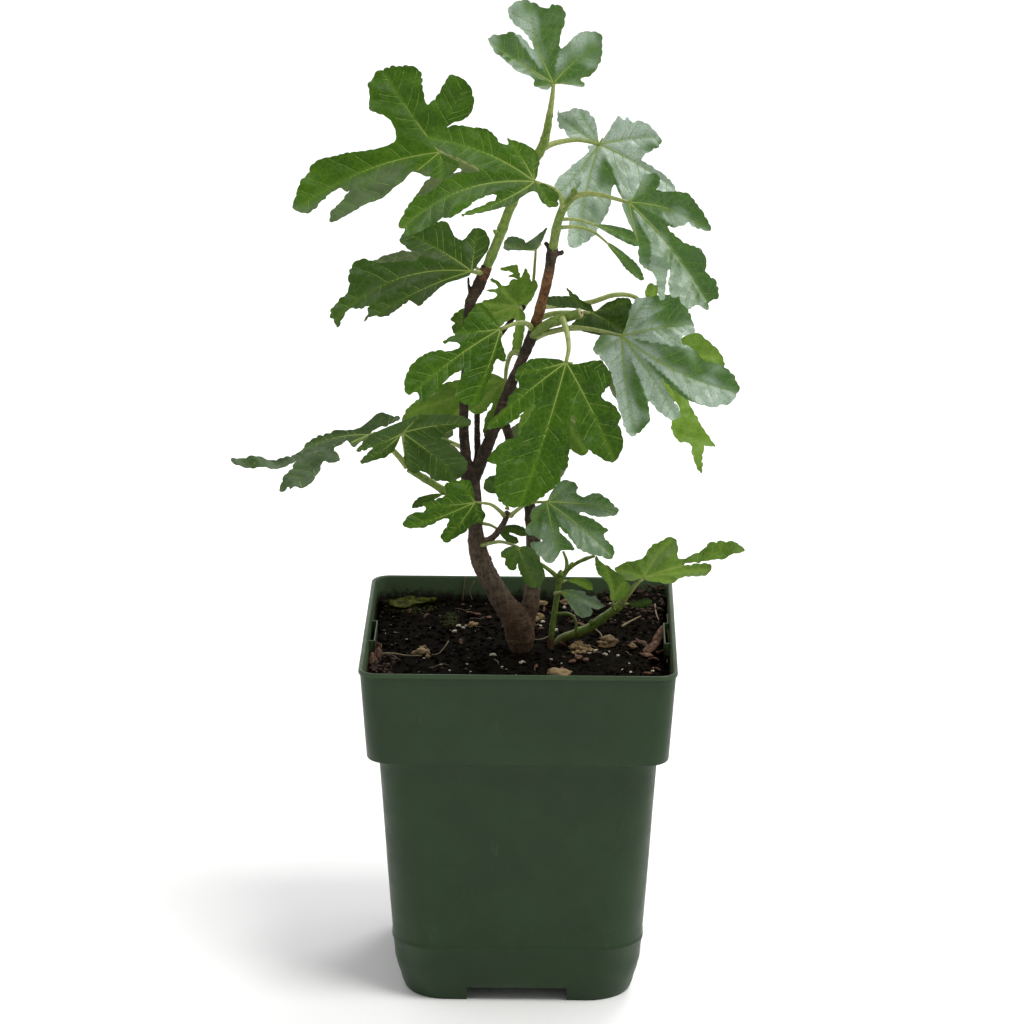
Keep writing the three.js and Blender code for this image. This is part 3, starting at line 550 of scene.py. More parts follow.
# %% Green stems, station by station
GREEN = {
    "left_top": [
        (-14.4, 295.5, 5, 1.9), (-8.8, 309.6, 6, 2), (-4.4, 321.7, 8, 1.9), (2.5, 336, 9, 1.8),
        (7.5, 345, 9, 1.9), (9.5, 351.5, 10, 1.6), (10.6, 358.5, 11, 1.3)],
    "right_top": [
        (12.2, 303.5, -13, 1.9), (14.2, 315, -15, 1.7), (17, 322, -16, 1.7),
        (20.5, 325.8, -17, 1.4)],
    "low_shoot": [
        (-17, 198.6, 0, 1.6), (-28.5, 202, -3, 1.6), (-36, 206.5, -5, 1.5),
        (-45.5, 212.5, -6, 1.5)],
    "cut_shoot": [
        (3.6, 268, -8, 1.9), (10, 273, -13, 2), (16, 275.5, -15, 2), (23.5, 278, -17, 1.95)],
    "short_sucker": [
        (12.2, 132, 7, 1.3), (12.8, 141, 7, 1.2), (14, 151, 8, 1.2), (15.4, 161, 9, 1.1),
        (16.2, 167, 9, 1.5)],
    "long_sucker": [
        (14.2, 132.5, 12, 1.9), (16.5, 139.5, 12, 2), (22, 142.3, 10, 1.9), (28, 145, 8, 1.9),
        (34, 149.5, 6, 1.8), (38.5, 153, 4, 1.8), (42, 156.5, 3, 1.6)],
    "sucker_fork_left": [
        (15.9, 165.5, 9, 1.1), (14, 168, 8, 0.9), (9, 172, 6, 0.8), (5.8, 173.4, 4, 0.6)],
    "sucker_fork_right": [
        (16.4, 165.5, 9, 1.1), (19, 169.8, 9, 1), (23, 173, 7, 0.8), (27, 175, 3, 0.8),
        (30, 176, -1, 0.6)],
    "sucker_fork_up": [(18.6, 169, 9, 0.8), (18.9, 173.6, 10, 0.7), (17.4, 178, 11, 0.5)],
    "sucker_hook": [
        (14.4, 151, 8, 0.7), (19.6, 151.2, 7, 0.6), (22.4, 149, 6, 0.55), (23, 145, 5, 0.5),
        (21.7, 141, 5, 0.4)],
}
SHOOT_STEP, SHOOT_SIDES = 0.8, 12
print("green stems:", len(GREEN))

# %% [markdown]
# ## Bark
#
# Where stems meet, wood swells over the fork in one skin. Tubes that only cross
# would show a hard seam there. A fine voxel wrap joins all woody tubes under one
# skin and fills the forks and the root collar, as growing wood does.
#
# The wrap is then shaped point by point, by the nearest point of a stem. Old
# leaf scars ring a fig's stem, the collar is wrinkled across, and the rest is
# lightly furrowed along. The same loop marks where the bark is grey, and where
# it is smooth and reddish.

# %% One skin over the woody stems
STEM_GAP = 1000  # the first stem's spine is marked from 0 mm, the next from 1000 mm
stems = Heap()
spine_points, spine_radii, spine_marks, spine_levels = [], [], [], []
for name, rows in WOOD.items():
    rows = np.array(rows, float)
    fine = spread(rows, max(4, int(run_along(rows[:, :2])[-1] / WOOD_STEP)))
    path = sight(*fine.T[:3])
    stems.add(*tube(path, fine[:, 3], WOOD_SIDES))
    spine_points.append(path)
    spine_radii.append(fine[:, 3])
    spine_levels.append(fine[:, 1])
    spine_marks.append(run_along(path) / MM + STEM_GAP * len(spine_marks))
raw = bpy.data.meshes.new("stems_raw")
raw.from_pydata(np.concatenate(stems.points).tolist(), [], stems.faces)
wrapped = bpy.data.objects.new("stems_raw", raw)
scene.collection.objects.link(wrapped)
wrap = wrapped.modifiers.new("wrap", "REMESH")
wrap.mode = "VOXEL"
wrap.voxel_size = 0.00046
relax = wrapped.modifiers.new("relax", "SMOOTH")
relax.iterations = 3
relax.factor = 0.5
ready = wrapped.evaluated_get(bpy.context.evaluated_depsgraph_get())
bark_mesh = bpy.data.meshes.new_from_object(ready)
bpy.data.objects.remove(wrapped)
print("the wrap has", len(bark_mesh.vertices), "points")

# %% Spines and scars
spine_points = np.vstack(spine_points)
spine_radii, spine_marks, spine_levels = map(
    np.concatenate, (spine_radii, spine_marks, spine_levels))
tree = kdtree.KDTree(len(spine_points))
for k, point in enumerate(spine_points):
    tree.insert(point, k)
tree.balance()
LONGEST_STEM = 150
SCARS = []
for _ in WOOD:
    spot, spots = DICE.uniform(2, 8), []
    while spot < LONGEST_STEM:
        spots.append(spot)
        spot += DICE.uniform(4.5, 12)
    SCARS.append(np.array(spots))
print("scars on the trunk could lie at", SCARS[0][:3].round(1), "mm and on")

# %% Furrows and marks
count = len(bark_mesh.vertices)
at, out = np.empty(count * 3), np.empty(count * 3)
ruddy, grey = np.zeros(count), np.zeros(count)
left_stem, right_stem = list(WOOD).index("left"), list(WOOD).index("right")
bark_mesh.vertices.foreach_get("co", at)
bark_mesh.vertices.foreach_get("normal", out)
at, out = at.reshape(-1, 3), out.reshape(-1, 3)
for k in range(count):
    place = Vector(at[k])
    _, near, _ = tree.find(place)
    stem, along = divmod(spine_marks[near], STEM_GAP)
    radius = spine_radii[near]
    gap = np.abs(SCARS[int(stem)] - (along + 0.5 * noise.noise(place * 300))).min()
    # pushed out, in millimetres: a scar and the low ridge beside it
    push = 0.07 * radius * math.exp(-(gap / 0.8) ** 2) + 0.05 * math.exp(-((gap - 1.6) / 0.5) ** 2)
    # long furrows, grain and broad swellings
    fine = Vector((place.x * 900, place.y * 900, place.z * 260))
    push += 0.16 * noise.noise(fine) + 0.12 * noise.noise(fine * 2.3)
    push += 0.10 * noise.noise(place * 1300)
    push += 0.3 * noise.noise(place * 180) * min(1, radius / 4)
    # wrinkles round the root collar
    level = spine_levels[near] + 3 * noise.noise(place * 400)
    collar = 1 - smooth_step(level, 148, 162)
    push += 0.16 * collar * math.sin(place.z * 5200 + 4 * noise.noise(place * 220))
    young = band(level, 272, 276, 293, 298) * (stem == right_stem)
    knot = band(level, 291, 293, 297, 300) * (stem == left_stem)
    ruddy[k] = max(0.32 * collar, young, 0.6 * knot)
    grey[k] = (1 - 0.5 * collar) * (1 - smooth_step(level, 172, 200))
    at[k] += out[k] * push * MM
bark_mesh.vertices.foreach_set("co", at.ravel())
for label, values in (("ruddy", ruddy), ("grey", grey)):
    bark_mesh.attributes.new(label, "FLOAT", "POINT").data.foreach_set("value", values)
bark_mesh.polygons.foreach_set("use_smooth", [True] * len(bark_mesh.polygons))
bark_mesh.update()
print("shares of reddish and grey bark:", ruddy.mean().round(2), grey.mean().round(2))

# %% [markdown]
# ## Bark finish
#
# Fig bark is near black on the thin stems, greyer on the old trunk, and smooth
# and red-brown where a stem is young. One brown with noise would lose that, so
# three colourings are mixed by the two marks. Fine rings run round the stem in a
# noise that is stretched sideways, with a painted highlight on the crests and
# painted shade in the creases, and the same noise raises them in the relief.

# %% Bark finish
bark = Finish("fig_bark", 0.78, 0.2)
long_grain = bark.noise(1.4, 5, 0.65, bark.stretched(1, 1, 0.45))
patches = bark.noise(6, 4, 0.6)
skin = bark.mix(bark.steps(long_grain, 0.3, 0.7), (29, 23, 18), (64, 52, 42))
skin = bark.mix(bark.steps(patches, 0.5, 0.68, 0, 0.6), skin, (90, 76, 61))
greyer = bark.mix(bark.steps(long_grain, 0.3, 0.7), (58, 48, 38), (108, 94, 78))
skin = bark.mix(bark.mark("grey"), skin, greyer)
redder = bark.mix(bark.steps(bark.noise(1.8, 4, 0.6), 0.3, 0.7), (80, 53, 33), (132, 94, 60))
skin = bark.mix(bark.mark("ruddy"), skin, redder)
rings_round = bark.noise(1.7, 4, 0.6, bark.stretched(0.22, 0.22, 1))
# painted highlight on the crests of the rings, then painted shade in their creases
skin = bark.mix(bark.steps(rings_round, 0.55, 0.7, 0, 0.35), skin, (118, 96, 76))
skin = bark.mix(bark.steps(rings_round, 0.28, 0.42, 0.6, 0), skin, (24, 18, 14))
lichen = bark.steps(bark.noise(2.2, 4, 0.7), 0.66, 0.74)
skin = bark.mix(bark.times(lichen, 0.25), skin, (120, 108, 92))
bark.colour(skin)
bark.roughness(bark.steps(long_grain, 0.2, 0.8, 0.66, 0.9))
bark.bump(bark.plus(bark.noise(0.5, 4, 0.7, bark.stretched(1, 1, 0.7)),
                    bark.times(rings_round, 1.6)), 0.14, 0.75)
bark_mesh.materials.append(bark.material)
bark_piece = bpy.data.objects.new("bark", bark_mesh)
dress(bark_piece, [
    "trunk", "stem_second", "stem_left", "stem_right", "stem_thin", "twig_low"])

# %% [markdown]
# ## Leaves
#
# A fig leaf is a hand of three to five blunt lobes that meet at the head of its
# stalk. It could be one flat shape with a leaf picture on it, but at this size
# its outline, folds and veins all show, so each is made of mesh.
#
# A row gives the stalk as across, height, depth, up to the leaf's base, where
# its lobes meet. The slope is how far the blade falls back per millimetre across
# and up, and the sag how far its outer part comes forward. A lobe is its tip
# across and up, its width, its bow and, where unusual, its neck. The edge is
# across and height of each turning point in turn; a leaf without one gets its
# outline from its lobes. The bloom and sheen entry gives the side of a midrib
# where the waxy bloom and a painted sheen of reflected light lie, how strong they
# are, how far they spread and the height where they end. Tone is how light the
# leaf is, and thick is its stalk's radius.

# %% Leaf tables
LEAVES = {
    "leaf_top": dict(
        stalk=[(10.6, 358, 11), (11.6, 365, 11), (12.2, 371.2, 12)], slope=(0.15, 0.35), sag=3,
        lobes=[(24.5, 370.8, 5, 0.4), (30, 386, 17, 1.5), (2.6, 403.6, 23, 1.8),
        (-14, 389, 11, 0.5), (4.6, 370.6, 6, 0.4)], edge=(16, 370.9, 23, 370, 24, 371, 22.7, 373,
        27, 374.3, 30.4, 382, 29.5, 391, 22.5, 391.4, 15, 384.6, 14, 386.2, 15.6, 397.6,
        14.5, 400.4, 11.8, 402.3, 9, 401, -0.5, 403.7, -6.1, 400.6, -6, 397.8, 2.6, 389, 4, 384.5,
        -2, 389.3, -7, 390.8, -13.9, 388.6, -3, 376.3, 4.2, 373.2, 5, 370, 9.5, 368.5, 11.3, 370),
        bloom_and_painted_sheen=(-1, -0.4, 0.78, 0, 405), tone=0.8),
    "leaf_upper_left": dict(
        stalk=[(-2.2, 326, 8), (-10, 332, 9), (-20, 338.5, 10), (-32.8, 343.2, 10)],
        slope=(-0.3, 0.7), sag=4, lobes=[(-20.5, 370.5, 13, 1.2, 0.9),
        (-54.5, 375.6, 23, 0.8, 0.85), (-90.5, 318.8, 14, -4.5), (-75.4, 313.8, 9.5, 1.6),
        (-31.5, 331, 14, 0.4)], edge=(-30.6, 348, -30.4, 352.4, -20.4, 357, -18.2, 360, -18.9, 366,
        -21, 369.2, -24.5, 371.3, -27.4, 370.9, -36.5, 361.2, -38.5, 364, -40.3, 375, -50, 377,
        -55, 375.9, -58, 373.8, -60, 363, -59.4, 359.2, -52, 355.8, -49.3, 348.4, -50.6, 345.8,
        -80.6, 338, -85, 332.9, -91.2, 320.6, -88, 318.4, -84.6, 318.2, -71.4, 328.8, -69.3, 326.8,
        -60.4, 331.6, -70, 324.5, -75.5, 313.8, -71, 314.8, -57.2, 322, -48, 329, -43.2, 335.2,
        -37.5, 332.8, -32, 332.5, -27.8, 334.2, -24.5, 338), bloom_and_painted_sheen=(0.1, -1, 0.58, 0, 334),
        tone=0.75),
    "leaf_over_left": dict(
        stalk=[(16.2, 320.5, -16), (15.6, 324.5, -18), (12.5, 328.8, -21), (5, 331.6, -23)],
        slope=(0.3, 0.5), sag=5, lobes=[(4.8, 344.5, 7, 0.5), (-5.6, 349.4, 8, -0.4),
        (-38, 349.2, 14, -3.2), (-49.5, 310.5, 15, -7), (-24, 318, 6, 1.6), (11, 321.5, 6, 0.8)],
        edge=(5.9, 334, 5.4, 343.6, -6, 348.9, -5.6, 346.9, -9, 346.7, -13.5, 351.2, -24, 353.5,
        -31, 352.7, -37, 349.3, -35.5, 345.5, -17.5, 335.7, -30.5, 332, -38, 325.4, -42.5, 324.6,
        -48.8, 315.2, -48.6, 312.4, -46.4, 312.6, -46.6, 309.4, -41, 310, -32.5, 316.4, -29, 316,
        -18, 323.9, -10.3, 325.9, -11.5, 323.6, -24, 317.6, -6, 321.4, 3, 327.3, 5.8, 326.8,
        7.4, 323.2, 11, 321.2, 13.6, 321.8, 13.4, 326, 9.5, 330.2), bloom_and_painted_sheen=(0.6, -0.8, 0.2, 0, 360),
        tone=0.6),
    "leaf_mid_left": dict(
        stalk=[(-14.8, 294, 4), (-20, 294.9, 1)], slope=(-0.1, 0.6), sag=4,
        lobes=[(-17, 313.4, 10, 0.4), (-46.5, 311, 18, -0.8), (-76.5, 272, 16, -8),
        (-63, 272.5, 9, -2.4)], edge=(-18.3, 296.4, -13.2, 305, -14.8, 311.6, -19, 312.8,
        -23, 307.2, -25.2, 306.3, -29.3, 313.4, -31.6, 314.4, -33, 313.4, -34.6, 315.1, -40, 313.6,
        -46.8, 310.6, -47.9, 306.6, -40.2, 300.9, -43, 298.4, -57, 297.2, -62.3, 298.5,
        -66.5, 296.3, -70.2, 285.3, -74.3, 280.3, -76.3, 275.1, -75, 275, -73.6, 271, -69.3, 279.4,
        -63.6, 279, -43.2, 289.9, -61.4, 279.3, -61.2, 276.6, -63.8, 271.6, -59.5, 275.8,
        -53.6, 276.6, -45.2, 282.2, -41.4, 280.4, -30.5, 289.3, -21, 292.9),
        bloom_and_painted_sheen=(0.1, -1, 0.4, 0, 300), tone=0.8),
    "leaf_upper_right": dict(
        stalk=[(8.5, 345.6, 10), (14, 347.6, 14), (22, 348.6, 19), (30.5, 347, 22)],
        slope=(0.2, 0.35), sag=4, lobes=[(14, 326, 10, 0.6), (22.5, 303.8, 14, -1.5),
        (61.5, 328.5, 14, 1), (54.8, 350.5, 14, 0.6), (37.3, 358.5, 6, 0.3), (22.5, 360.5, 7, 0.3),
        (13, 359.3, 11, 0.5)], edge=(25.4, 346, 26.2, 344, 13, 330.2, 19, 316, 17.9, 306.2,
        21, 304.6, 31, 313.6, 36.2, 330.6, 39, 324.5, 46, 320.5, 56, 322.5, 60.8, 328.6,
        56.3, 334.8, 50.5, 337.6, 47, 341.2, 54.9, 347.8, 49.4, 354.6, 45.6, 356.2, 43, 355.4,
        40.6, 357.4, 39.4, 356.2, 37.2, 358.1, 30.7, 347.8, 28.6, 355.5, 25, 360.2, 21.8, 361,
        15, 359.4, 13.8, 361.2, 14.6, 353.6, 16.9, 352.6, 18, 349.8, 21.6, 348.4),
        bloom_and_painted_sheen=(-0.6, 0.4, 0.9, 0.7, 370), tone=0.6),
    "leaf_right": dict(
        stalk=[(19.8, 325.3, -17), (26, 327, -20), (34, 325.8, -24), (42.3, 323.5, -27)],
        slope=(-0.1, 0.4), sag=5, lobes=[(56.2, 283, 12, -1.6), (76.5, 279.5, 17, 2.4),
        (74.8, 312, 12, 3), (51.5, 335.8, 9, -0.5)], edge=(39.6, 322.6, 46.4, 306.6, 46.3, 302.6,
        48.6, 297, 53, 293.6, 56.3, 283.4, 58.9, 296, 59.3, 286.8, 60.8, 284.9, 62.8, 285.2,
        65, 281.3, 67.6, 279.9, 70, 281.7, 74.6, 279.1, 75.1, 283.4, 78.1, 284.5, 77.2, 290.3,
        73.4, 295, 74, 298.6, 71.4, 303.8, 64.6, 306.8, 57.6, 313.7, 64.6, 313.9, 66.3, 315.6,
        67.8, 313.6, 74.6, 312.2, 73.4, 316.2, 65.3, 327, 53.4, 328.2, 54.6, 332.4, 52.8, 334.8,
        48.2, 333.8, 44.2, 325.6), bloom_and_painted_sheen=(-0.9, -0.5, 0.55, -0.3, 345), tone=0.5),
    "leaf_young_upper": dict(
        stalk=[(15, 316.5, -15), (22, 316.4, -11), (29.5, 314.2, -8)], slope=(0.1, 0.3), sag=1,
        lobes=[(48.5, 306.2, 5, 0.6)]),
    "leaf_young_lower": dict(
        stalk=[(14, 313, -14.6), (23, 313.4, -5), (29, 311, -3), (33.5, 307.4, -2)],
        slope=(0.1, 0.3), sag=1, lobes=[(48.6, 291.5, 4, 0.5)]),
    "leaf_right_low": dict(
        stalk=[(5.5, 269.3, -9), (11, 270, -13), (20, 272, -18), (30, 271, -26),
        (40.3, 268.6, -31)], slope=(0.2, 0.3), sag=4, lobes=[(29.5, 261.5, 8, 0.4),
        (46, 227.8, 14, -1), (63.3, 234, 14, 1), (86.8, 246, 17, -3), (69.3, 274, 17, 0.8),
        (51.5, 286, 11, 0.6)], edge=(31.5, 268.8, 28.5, 263, 31.8, 260.4, 36, 252, 40.4, 234,
        44.4, 227.6, 51.6, 233.6, 50.8, 241.6, 58.8, 235, 61.6, 234.2, 64, 236, 56, 251.4,
        66.4, 242, 72, 240.3, 77.4, 239.2, 81, 241, 83.6, 240.4, 86.2, 244.8, 86.8, 248.6,
        80, 257.3, 73, 258.2, 69.2, 262.8, 63.8, 265.6, 63.4, 268.2, 68.2, 270.2, 68.8, 274,
        61.8, 285, 48, 284.6, 44.6, 282.2, 41.4, 271.4), bloom_and_painted_sheen=(-0.6, -0.8, 0.8, 0.4, 295),
        tone=0.5),
    "leaf_behind_stub": dict(
        stalk=[(5.5, 275, -9), (14, 278, -8), (27.5, 278.3, -7)], slope=(0.05, 0.3), sag=1,
        lobes=[(16, 270.5, 8, 0.4), (44.5, 268.5, 11, 0.5), (43, 284, 8, -0.6), (18.2, 288, 5, 0.5),
        (8.5, 284, 4, 0.4)], edge=(24.4, 277.4, 20.4, 272.6, 36, 267.8, 44, 268.6, 46, 274, 45, 280,
        41.6, 284.4, 34.4, 282.6, 29.2, 278.9, 27.6, 281.6, 25.4, 282.4, 18.1, 288.4, 19.4, 285,
        10, 284.6, 8.6, 282.6, 12, 281, 24.6, 279.4), bloom_and_painted_sheen=(-0.5, -0.8, 0.2, 0, 300), tone=0.3),
    "leaf_light_right": dict(
        stalk=[(7.2, 280.5, -8.5), (12.5, 281, 2), (26.5, 282.3, 5), (38, 285.8, 8), (47, 283.6, 9),
        (53.5, 271, 7), (56, 257.5, 5)], slope=(0.1, 0.3), sag=2, lobes=[(60.5, 227.5, 8, 0.6),
        (71.7, 211.6, 7, 0.8), (77.6, 222.6, 9, 1), (80.6, 260.2, 15, 1.8), (53.3, 291, 7, 0.5)],
        edge=(52.6, 259, 57, 248, 63.2, 238.6, 61, 234, 61, 229, 63.4, 225, 67.9, 223.9, 68.9, 218,
        72.3, 211.4, 72.9, 223, 77.9, 222.9, 70, 235.4, 66, 248, 71, 252.4, 80.4, 256.5,
        80.2, 260.8, 69.6, 270.2, 58.6, 266, 53.8, 289, 51.4, 290.2, 49.6, 287, 52.6, 268),
        tone=0.95),
    "leaf_centre": dict(
        stalk=[(16.5, 275.4, -17), (18, 271, -26), (19, 263.5, -37), (18, 257.6, -42)],
        slope=(0.02, 0.25), sag=3, lobes=[(-3.6, 253.2, 11, 0.8), (-13.5, 230.3, 11, -0.7),
        (-0.5, 196, 29, 0.8), (38.6, 214.8, 17, 0.8), (37.8, 250.8, 13, 1.2)], edge=(15, 258.9,
        5, 259, 0, 255.9, -2.2, 252, -0.5, 248.8, -1.4, 246.2, -5.4, 243, -6.2, 239.4, -13.6, 229.8,
        -6.4, 231, 5.6, 240, -0.6, 227.4, -7.6, 224, -13.2, 216, -10, 214.6, -10.4, 204, -8.6, 199,
        -4.4, 196.7, 0.8, 197.2, 10.4, 202.2, 15.4, 208, 16.4, 212.8, 18.4, 212.2, 20.6, 235.8,
        25.2, 224.2, 29, 220, 37, 215.8, 39.6, 217.6, 41.4, 224, 38.9, 231.6, 40.2, 235, 37.4, 240,
        32, 243.4, 36.2, 250.6, 31.6, 258, 21, 256.9), tone=0.4),
    "leaf_centre_left": dict(
        stalk=[(4.4, 270.6, -8), (3, 273, -13), (-1, 273.9, -18), (-8.4, 271.2, -22)],
        slope=(0.1, 0.4), sag=3, lobes=[(-17, 281, 12, 0.5), (-28.3, 269.5, 9, 0.4),
        (-46, 241.8, 16, -1.6), (-20.3, 238, 13, 0.8), (-7.2, 255.5, 7, 0.4)], edge=(-9.4, 273.2,
        -16.6, 281.8, -26.4, 268.8, -31.3, 265.1, -28.5, 265.6, -24.9, 264.4, -26, 263,
        -37.4, 260.4, -43.2, 256.6, -46.6, 251.4, -47, 245.8, -45.8, 243.4, -42, 244.4,
        -40.4, 240.4, -23.4, 254.8, -23.4, 251.4, -26, 246.4, -25.6, 241.8, -21, 239.4, -16, 241,
        -11.6, 256, -9.4, 259, -8, 257, -6, 257.8, -8.1, 266), tone=0.5),
    "leaf_far_left": dict(
        stalk=[(-45.8, 213.2, -4.6), (-52, 220.5, -4), (-57.5, 225.3, -6), (-61.5, 226.6, -8)],
        slope=(-0.5, 1.8), sag=0, lobes=[(-48.5, 231.2, 5, 0.8), (-90.5, 219, 6, -2.2),
        (-115, 208.2, 6, 1.3), (-92, 198.5, 12, -3.5), (-73.2, 213.6, 5, -1.4),
        (-64.8, 222.6, 3.5, 0.3)], edge=(-59, 228.8, -48.6, 231, -57, 233.8, -64.6, 228.9,
        -75, 227.5, -86, 222.6, -93, 215.8, -106.6, 212.5, -115, 208.5, -104.6, 208, -97, 209.6,
        -90.6, 213.8, -96.7, 199.2, -93, 200.6, -92.2, 199.2, -90.4, 200.7, -87.6, 199.8,
        -81, 206.9, -79.6, 213.3, -76, 212.4, -72.8, 213.8, -75.2, 220.2, -72.2, 221.2, -70.2, 224,
        -67.6, 221.3, -64.6, 224, -61.4, 223.3, -62, 225), tone=0.1),
    "leaf_low_left": dict(
        stalk=[(-44, 211.6, -7.8), (-46.3, 218.5, -12), (-47.8, 227.6, -13.5)], slope=(0.1, 0.15),
        sag=2, lobes=[(-25, 208.2, 18, 0.8), (-19.2, 231.6, 6, 1.2), (-35.5, 242, 12, -0.5),
        (-66.5, 220, 6, 1), (-65.5, 214, 7, 1), (-45.2, 211.8, 5, 0.3)], edge=(-47.4, 223.6,
        -45.2, 211.6, -38.6, 211.3, -35.6, 208.5, -26.2, 208, -22, 215.4, -29.2, 222.4, -27.6, 224,
        -32.6, 225.6, -29.4, 229.2, -21, 231, -20.2, 232.6, -25, 235, -40, 234.8, -57.6, 228.4,
        -66.8, 219.7, -59.8, 221.3, -64.8, 215.8, -63.8, 214.2, -52.4, 219.4, -50, 222.8),
        bloom_and_painted_sheen=(-0.7, 0.7, 0.18, 0, 250), tone=1),
    "leaf_small_left": dict(
        stalk=[(-6.7, 193.2, -14), (-9, 195.4, -19), (-12.5, 197.8, -22), (-18.6, 198.5, -24)],
        slope=(-0.1, 0.4), sag=2, thick=0.9, lobes=[(-24, 208, 10, 0.4), (-40.5, 196.8, 5, 0.6),
        (-47.8, 187, 9, 0.8), (-31.8, 181, 10, 0.8), (-15.6, 189.6, 7, -0.4)], edge=(-18.6, 200.6,
        -20.6, 206.8, -28.8, 206.6, -30.6, 204.8, -29.8, 201, -40, 197.5, -38.3, 195.4,
        -40.4, 193.8, -44.2, 193, -47.2, 188.3, -40.8, 187.1, -29.7, 191.9, -28.8, 189.8,
        -31.5, 186, -31.6, 182.4, -29, 182.1, -21.8, 186.2, -19.8, 188.9, -15.6, 189.9,
        -14.9, 193.4, -16.8, 197.6), tone=0.45),
    "leaf_small_right": dict(
        stalk=[(-4, 193, -14), (-1, 195.6, -19), (3.5, 198.4, -22), (10.6, 199, -24)],
        slope=(0.1, 0.35), sag=2, thick=0.9, lobes=[(2.6, 188, 11, 0.5), (17.2, 173.3, 13, -0.6),
        (39, 175, 12, 0.8), (40.8, 194.6, 9, 1.2), (21.8, 209, 8, -0.6)], edge=(8.6, 198.2,
        4.8, 195.6, 4.5, 190.8, 2, 188.2, 2.6, 185, 6.6, 184.4, 9.4, 181.6, 4, 181.2, 10.4, 172.9,
        13.6, 173.6, 16.6, 177.8, 21.8, 178.7, 16, 186, 15.6, 188.4, 24.6, 178.8, 36.8, 175.3,
        38.2, 178, 33.9, 185, 35.7, 186.6, 31, 190.2, 23.6, 193.7, 24.4, 194.8, 31.6, 192.4,
        39.5, 194.8, 35.4, 199.6, 29.8, 202.3, 25.6, 201, 22.6, 202.4, 23.6, 205, 21.4, 207.6,
        15.6, 206.8, 12, 202.4), bloom_and_painted_sheen=(-0.7, -0.7, 0.28, 0, 220), tone=0.35),
    "leaf_round": dict(
        stalk=[(-16.5, 180, -2), (-9, 181.8, -10), (-4, 180.8, -15), (-0.8, 179.6, -17)],
        slope=(0, 0.3), sag=1, thick=0.8, lobes=[(-8, 175, 8, 0.4), (-4.2, 169.2, 5, 0.3),
        (6.4, 162, 11, -0.6), (10, 172.5, 8, 0.4)], edge=(-4, 179.9, -7.8, 177.4, -8, 175.2,
        -6.4, 174.6, -5.8, 171.4, -3.2, 169.6, -1.6, 171.2, -1.2, 172.8, 1.4, 165.4, 5.8, 162.3,
        9, 164.6, 10.1, 168.6, 8, 174.4, 5.6, 178.6, 2, 180.1), bloom_and_painted_sheen=(0.5, 0.8, 0.35, 0.5, 190),
        tone=1),
    "leaf_scrap": dict(
        stalk=[(-17.5, 189.8, 1), (-12.5, 189, 3), (-9, 187, 5)], slope=(0, 0.3), sag=0,
        lobes=[(-0.5, 181.5, 3.5, -0.6), (3, 184.6, 4.5, 1.2)]),
    "leaf_dry_left": dict(
        stalk=[(-30, 202.8, -3), (-31.5, 201.8, 0)], slope=(0.1, 0.4), sag=0,
        lobes=[(-44.3, 195.8, 3.5, -0.8)]),
    "leaf_low_middle": dict(
        stalk=[(-5.5, 195.4, -13), (-5, 200, -12), (-6.5, 204.2, -12)], slope=(0, 0.3), sag=0,
        lobes=[(-4, 214, 9, 0.4), (-14.2, 208.2, 8, 0.5)]),
    "leaf_sucker_low": dict(
        stalk=[(15, 159.5, 8.6), (17, 160.3, 5)], slope=(0, 0.3), sag=1,
        lobes=[(19.5, 154.2, 5, 0.3), (25.5, 148.8, 9, 0.5), (34.6, 153.4, 9, 1),
        (28, 161.8, 5, 0.5)], edge=(19, 157.4, 21.4, 153.2, 24.4, 150.4, 27.6, 150.3, 29.4, 152,
        28.6, 154, 31.6, 153, 34.6, 154.2, 32.4, 157, 30, 158.6, 27.6, 158.8, 25.2, 160.8,
        18, 161.6), bloom_and_painted_sheen=(0.3, 0.9, 0.4, 0.4, 170), tone=0.8),
    "leaf_sucker_arch": dict(
        stalk=[(16, 164.5, 9), (18.8, 165.4, 11)], slope=(0, 0.3), sag=0,
        lobes=[(29.5, 161.5, 3.6, 1.6)]),
    "leaf_sucker_curled": dict(
        stalk=[(38.6, 153, 4), (38, 154.2, -2), (38, 156.6, -5)], slope=(-0.1, 0.2), sag=0,
        lobes=[(44, 166, 7, 0.8), (30.4, 177.3, 9, -2.2)], edge=(41.4, 157.6, 43.8, 160.6,
        45, 163.4, 41.6, 167.2, 33.6, 173, 30.8, 176.8, 30.4, 173.6, 31.4, 169.6, 34.6, 166.4,
        36.6, 161.6, 36.8, 158)),
    "leaf_sucker_narrow": dict(
        stalk=[(41, 155.5, 3.2), (44, 155.7, 5)], slope=(0.1, 0.4), sag=0,
        lobes=[(54, 157.2, 3.6, -0.8)]),
    "leaf_sucker_big": dict(
        stalk=[(41.4, 156, 3), (45, 161.2, 0), (47.6, 164.6, -1), (50, 166.8, -2)],
        slope=(-0.4, 0.9), sag=0, lobes=[(62, 165.2, 6, 0.6), (76.8, 170.4, 6, 0.6),
        (91.8, 178, 7, 1.2), (62, 183.6, 13, 0.8), (38.6, 170.2, 8, -1)], edge=(52, 165.3,
        62.2, 164.7, 66.8, 167.2, 75.8, 168.2, 77.4, 172.2, 67, 172.7, 91.9, 177, 87.6, 180.7,
        80, 179.9, 65.4, 175, 63.4, 182.8, 61.4, 183.8, 55, 180.8, 51, 175.6, 47, 173.4,
        42.4, 173.3, 38.8, 170.2, 45.4, 164.8), bloom_and_painted_sheen=(0.4, -0.9, 0.3, 0, 190), tone=0.3),
    "leaf_behind_top": dict(
        stalk=[(0.2, 279.4, 19), (4, 286, 26), (5.3, 300, 27), (5.5, 304, 27)], slope=(0, 1.6),
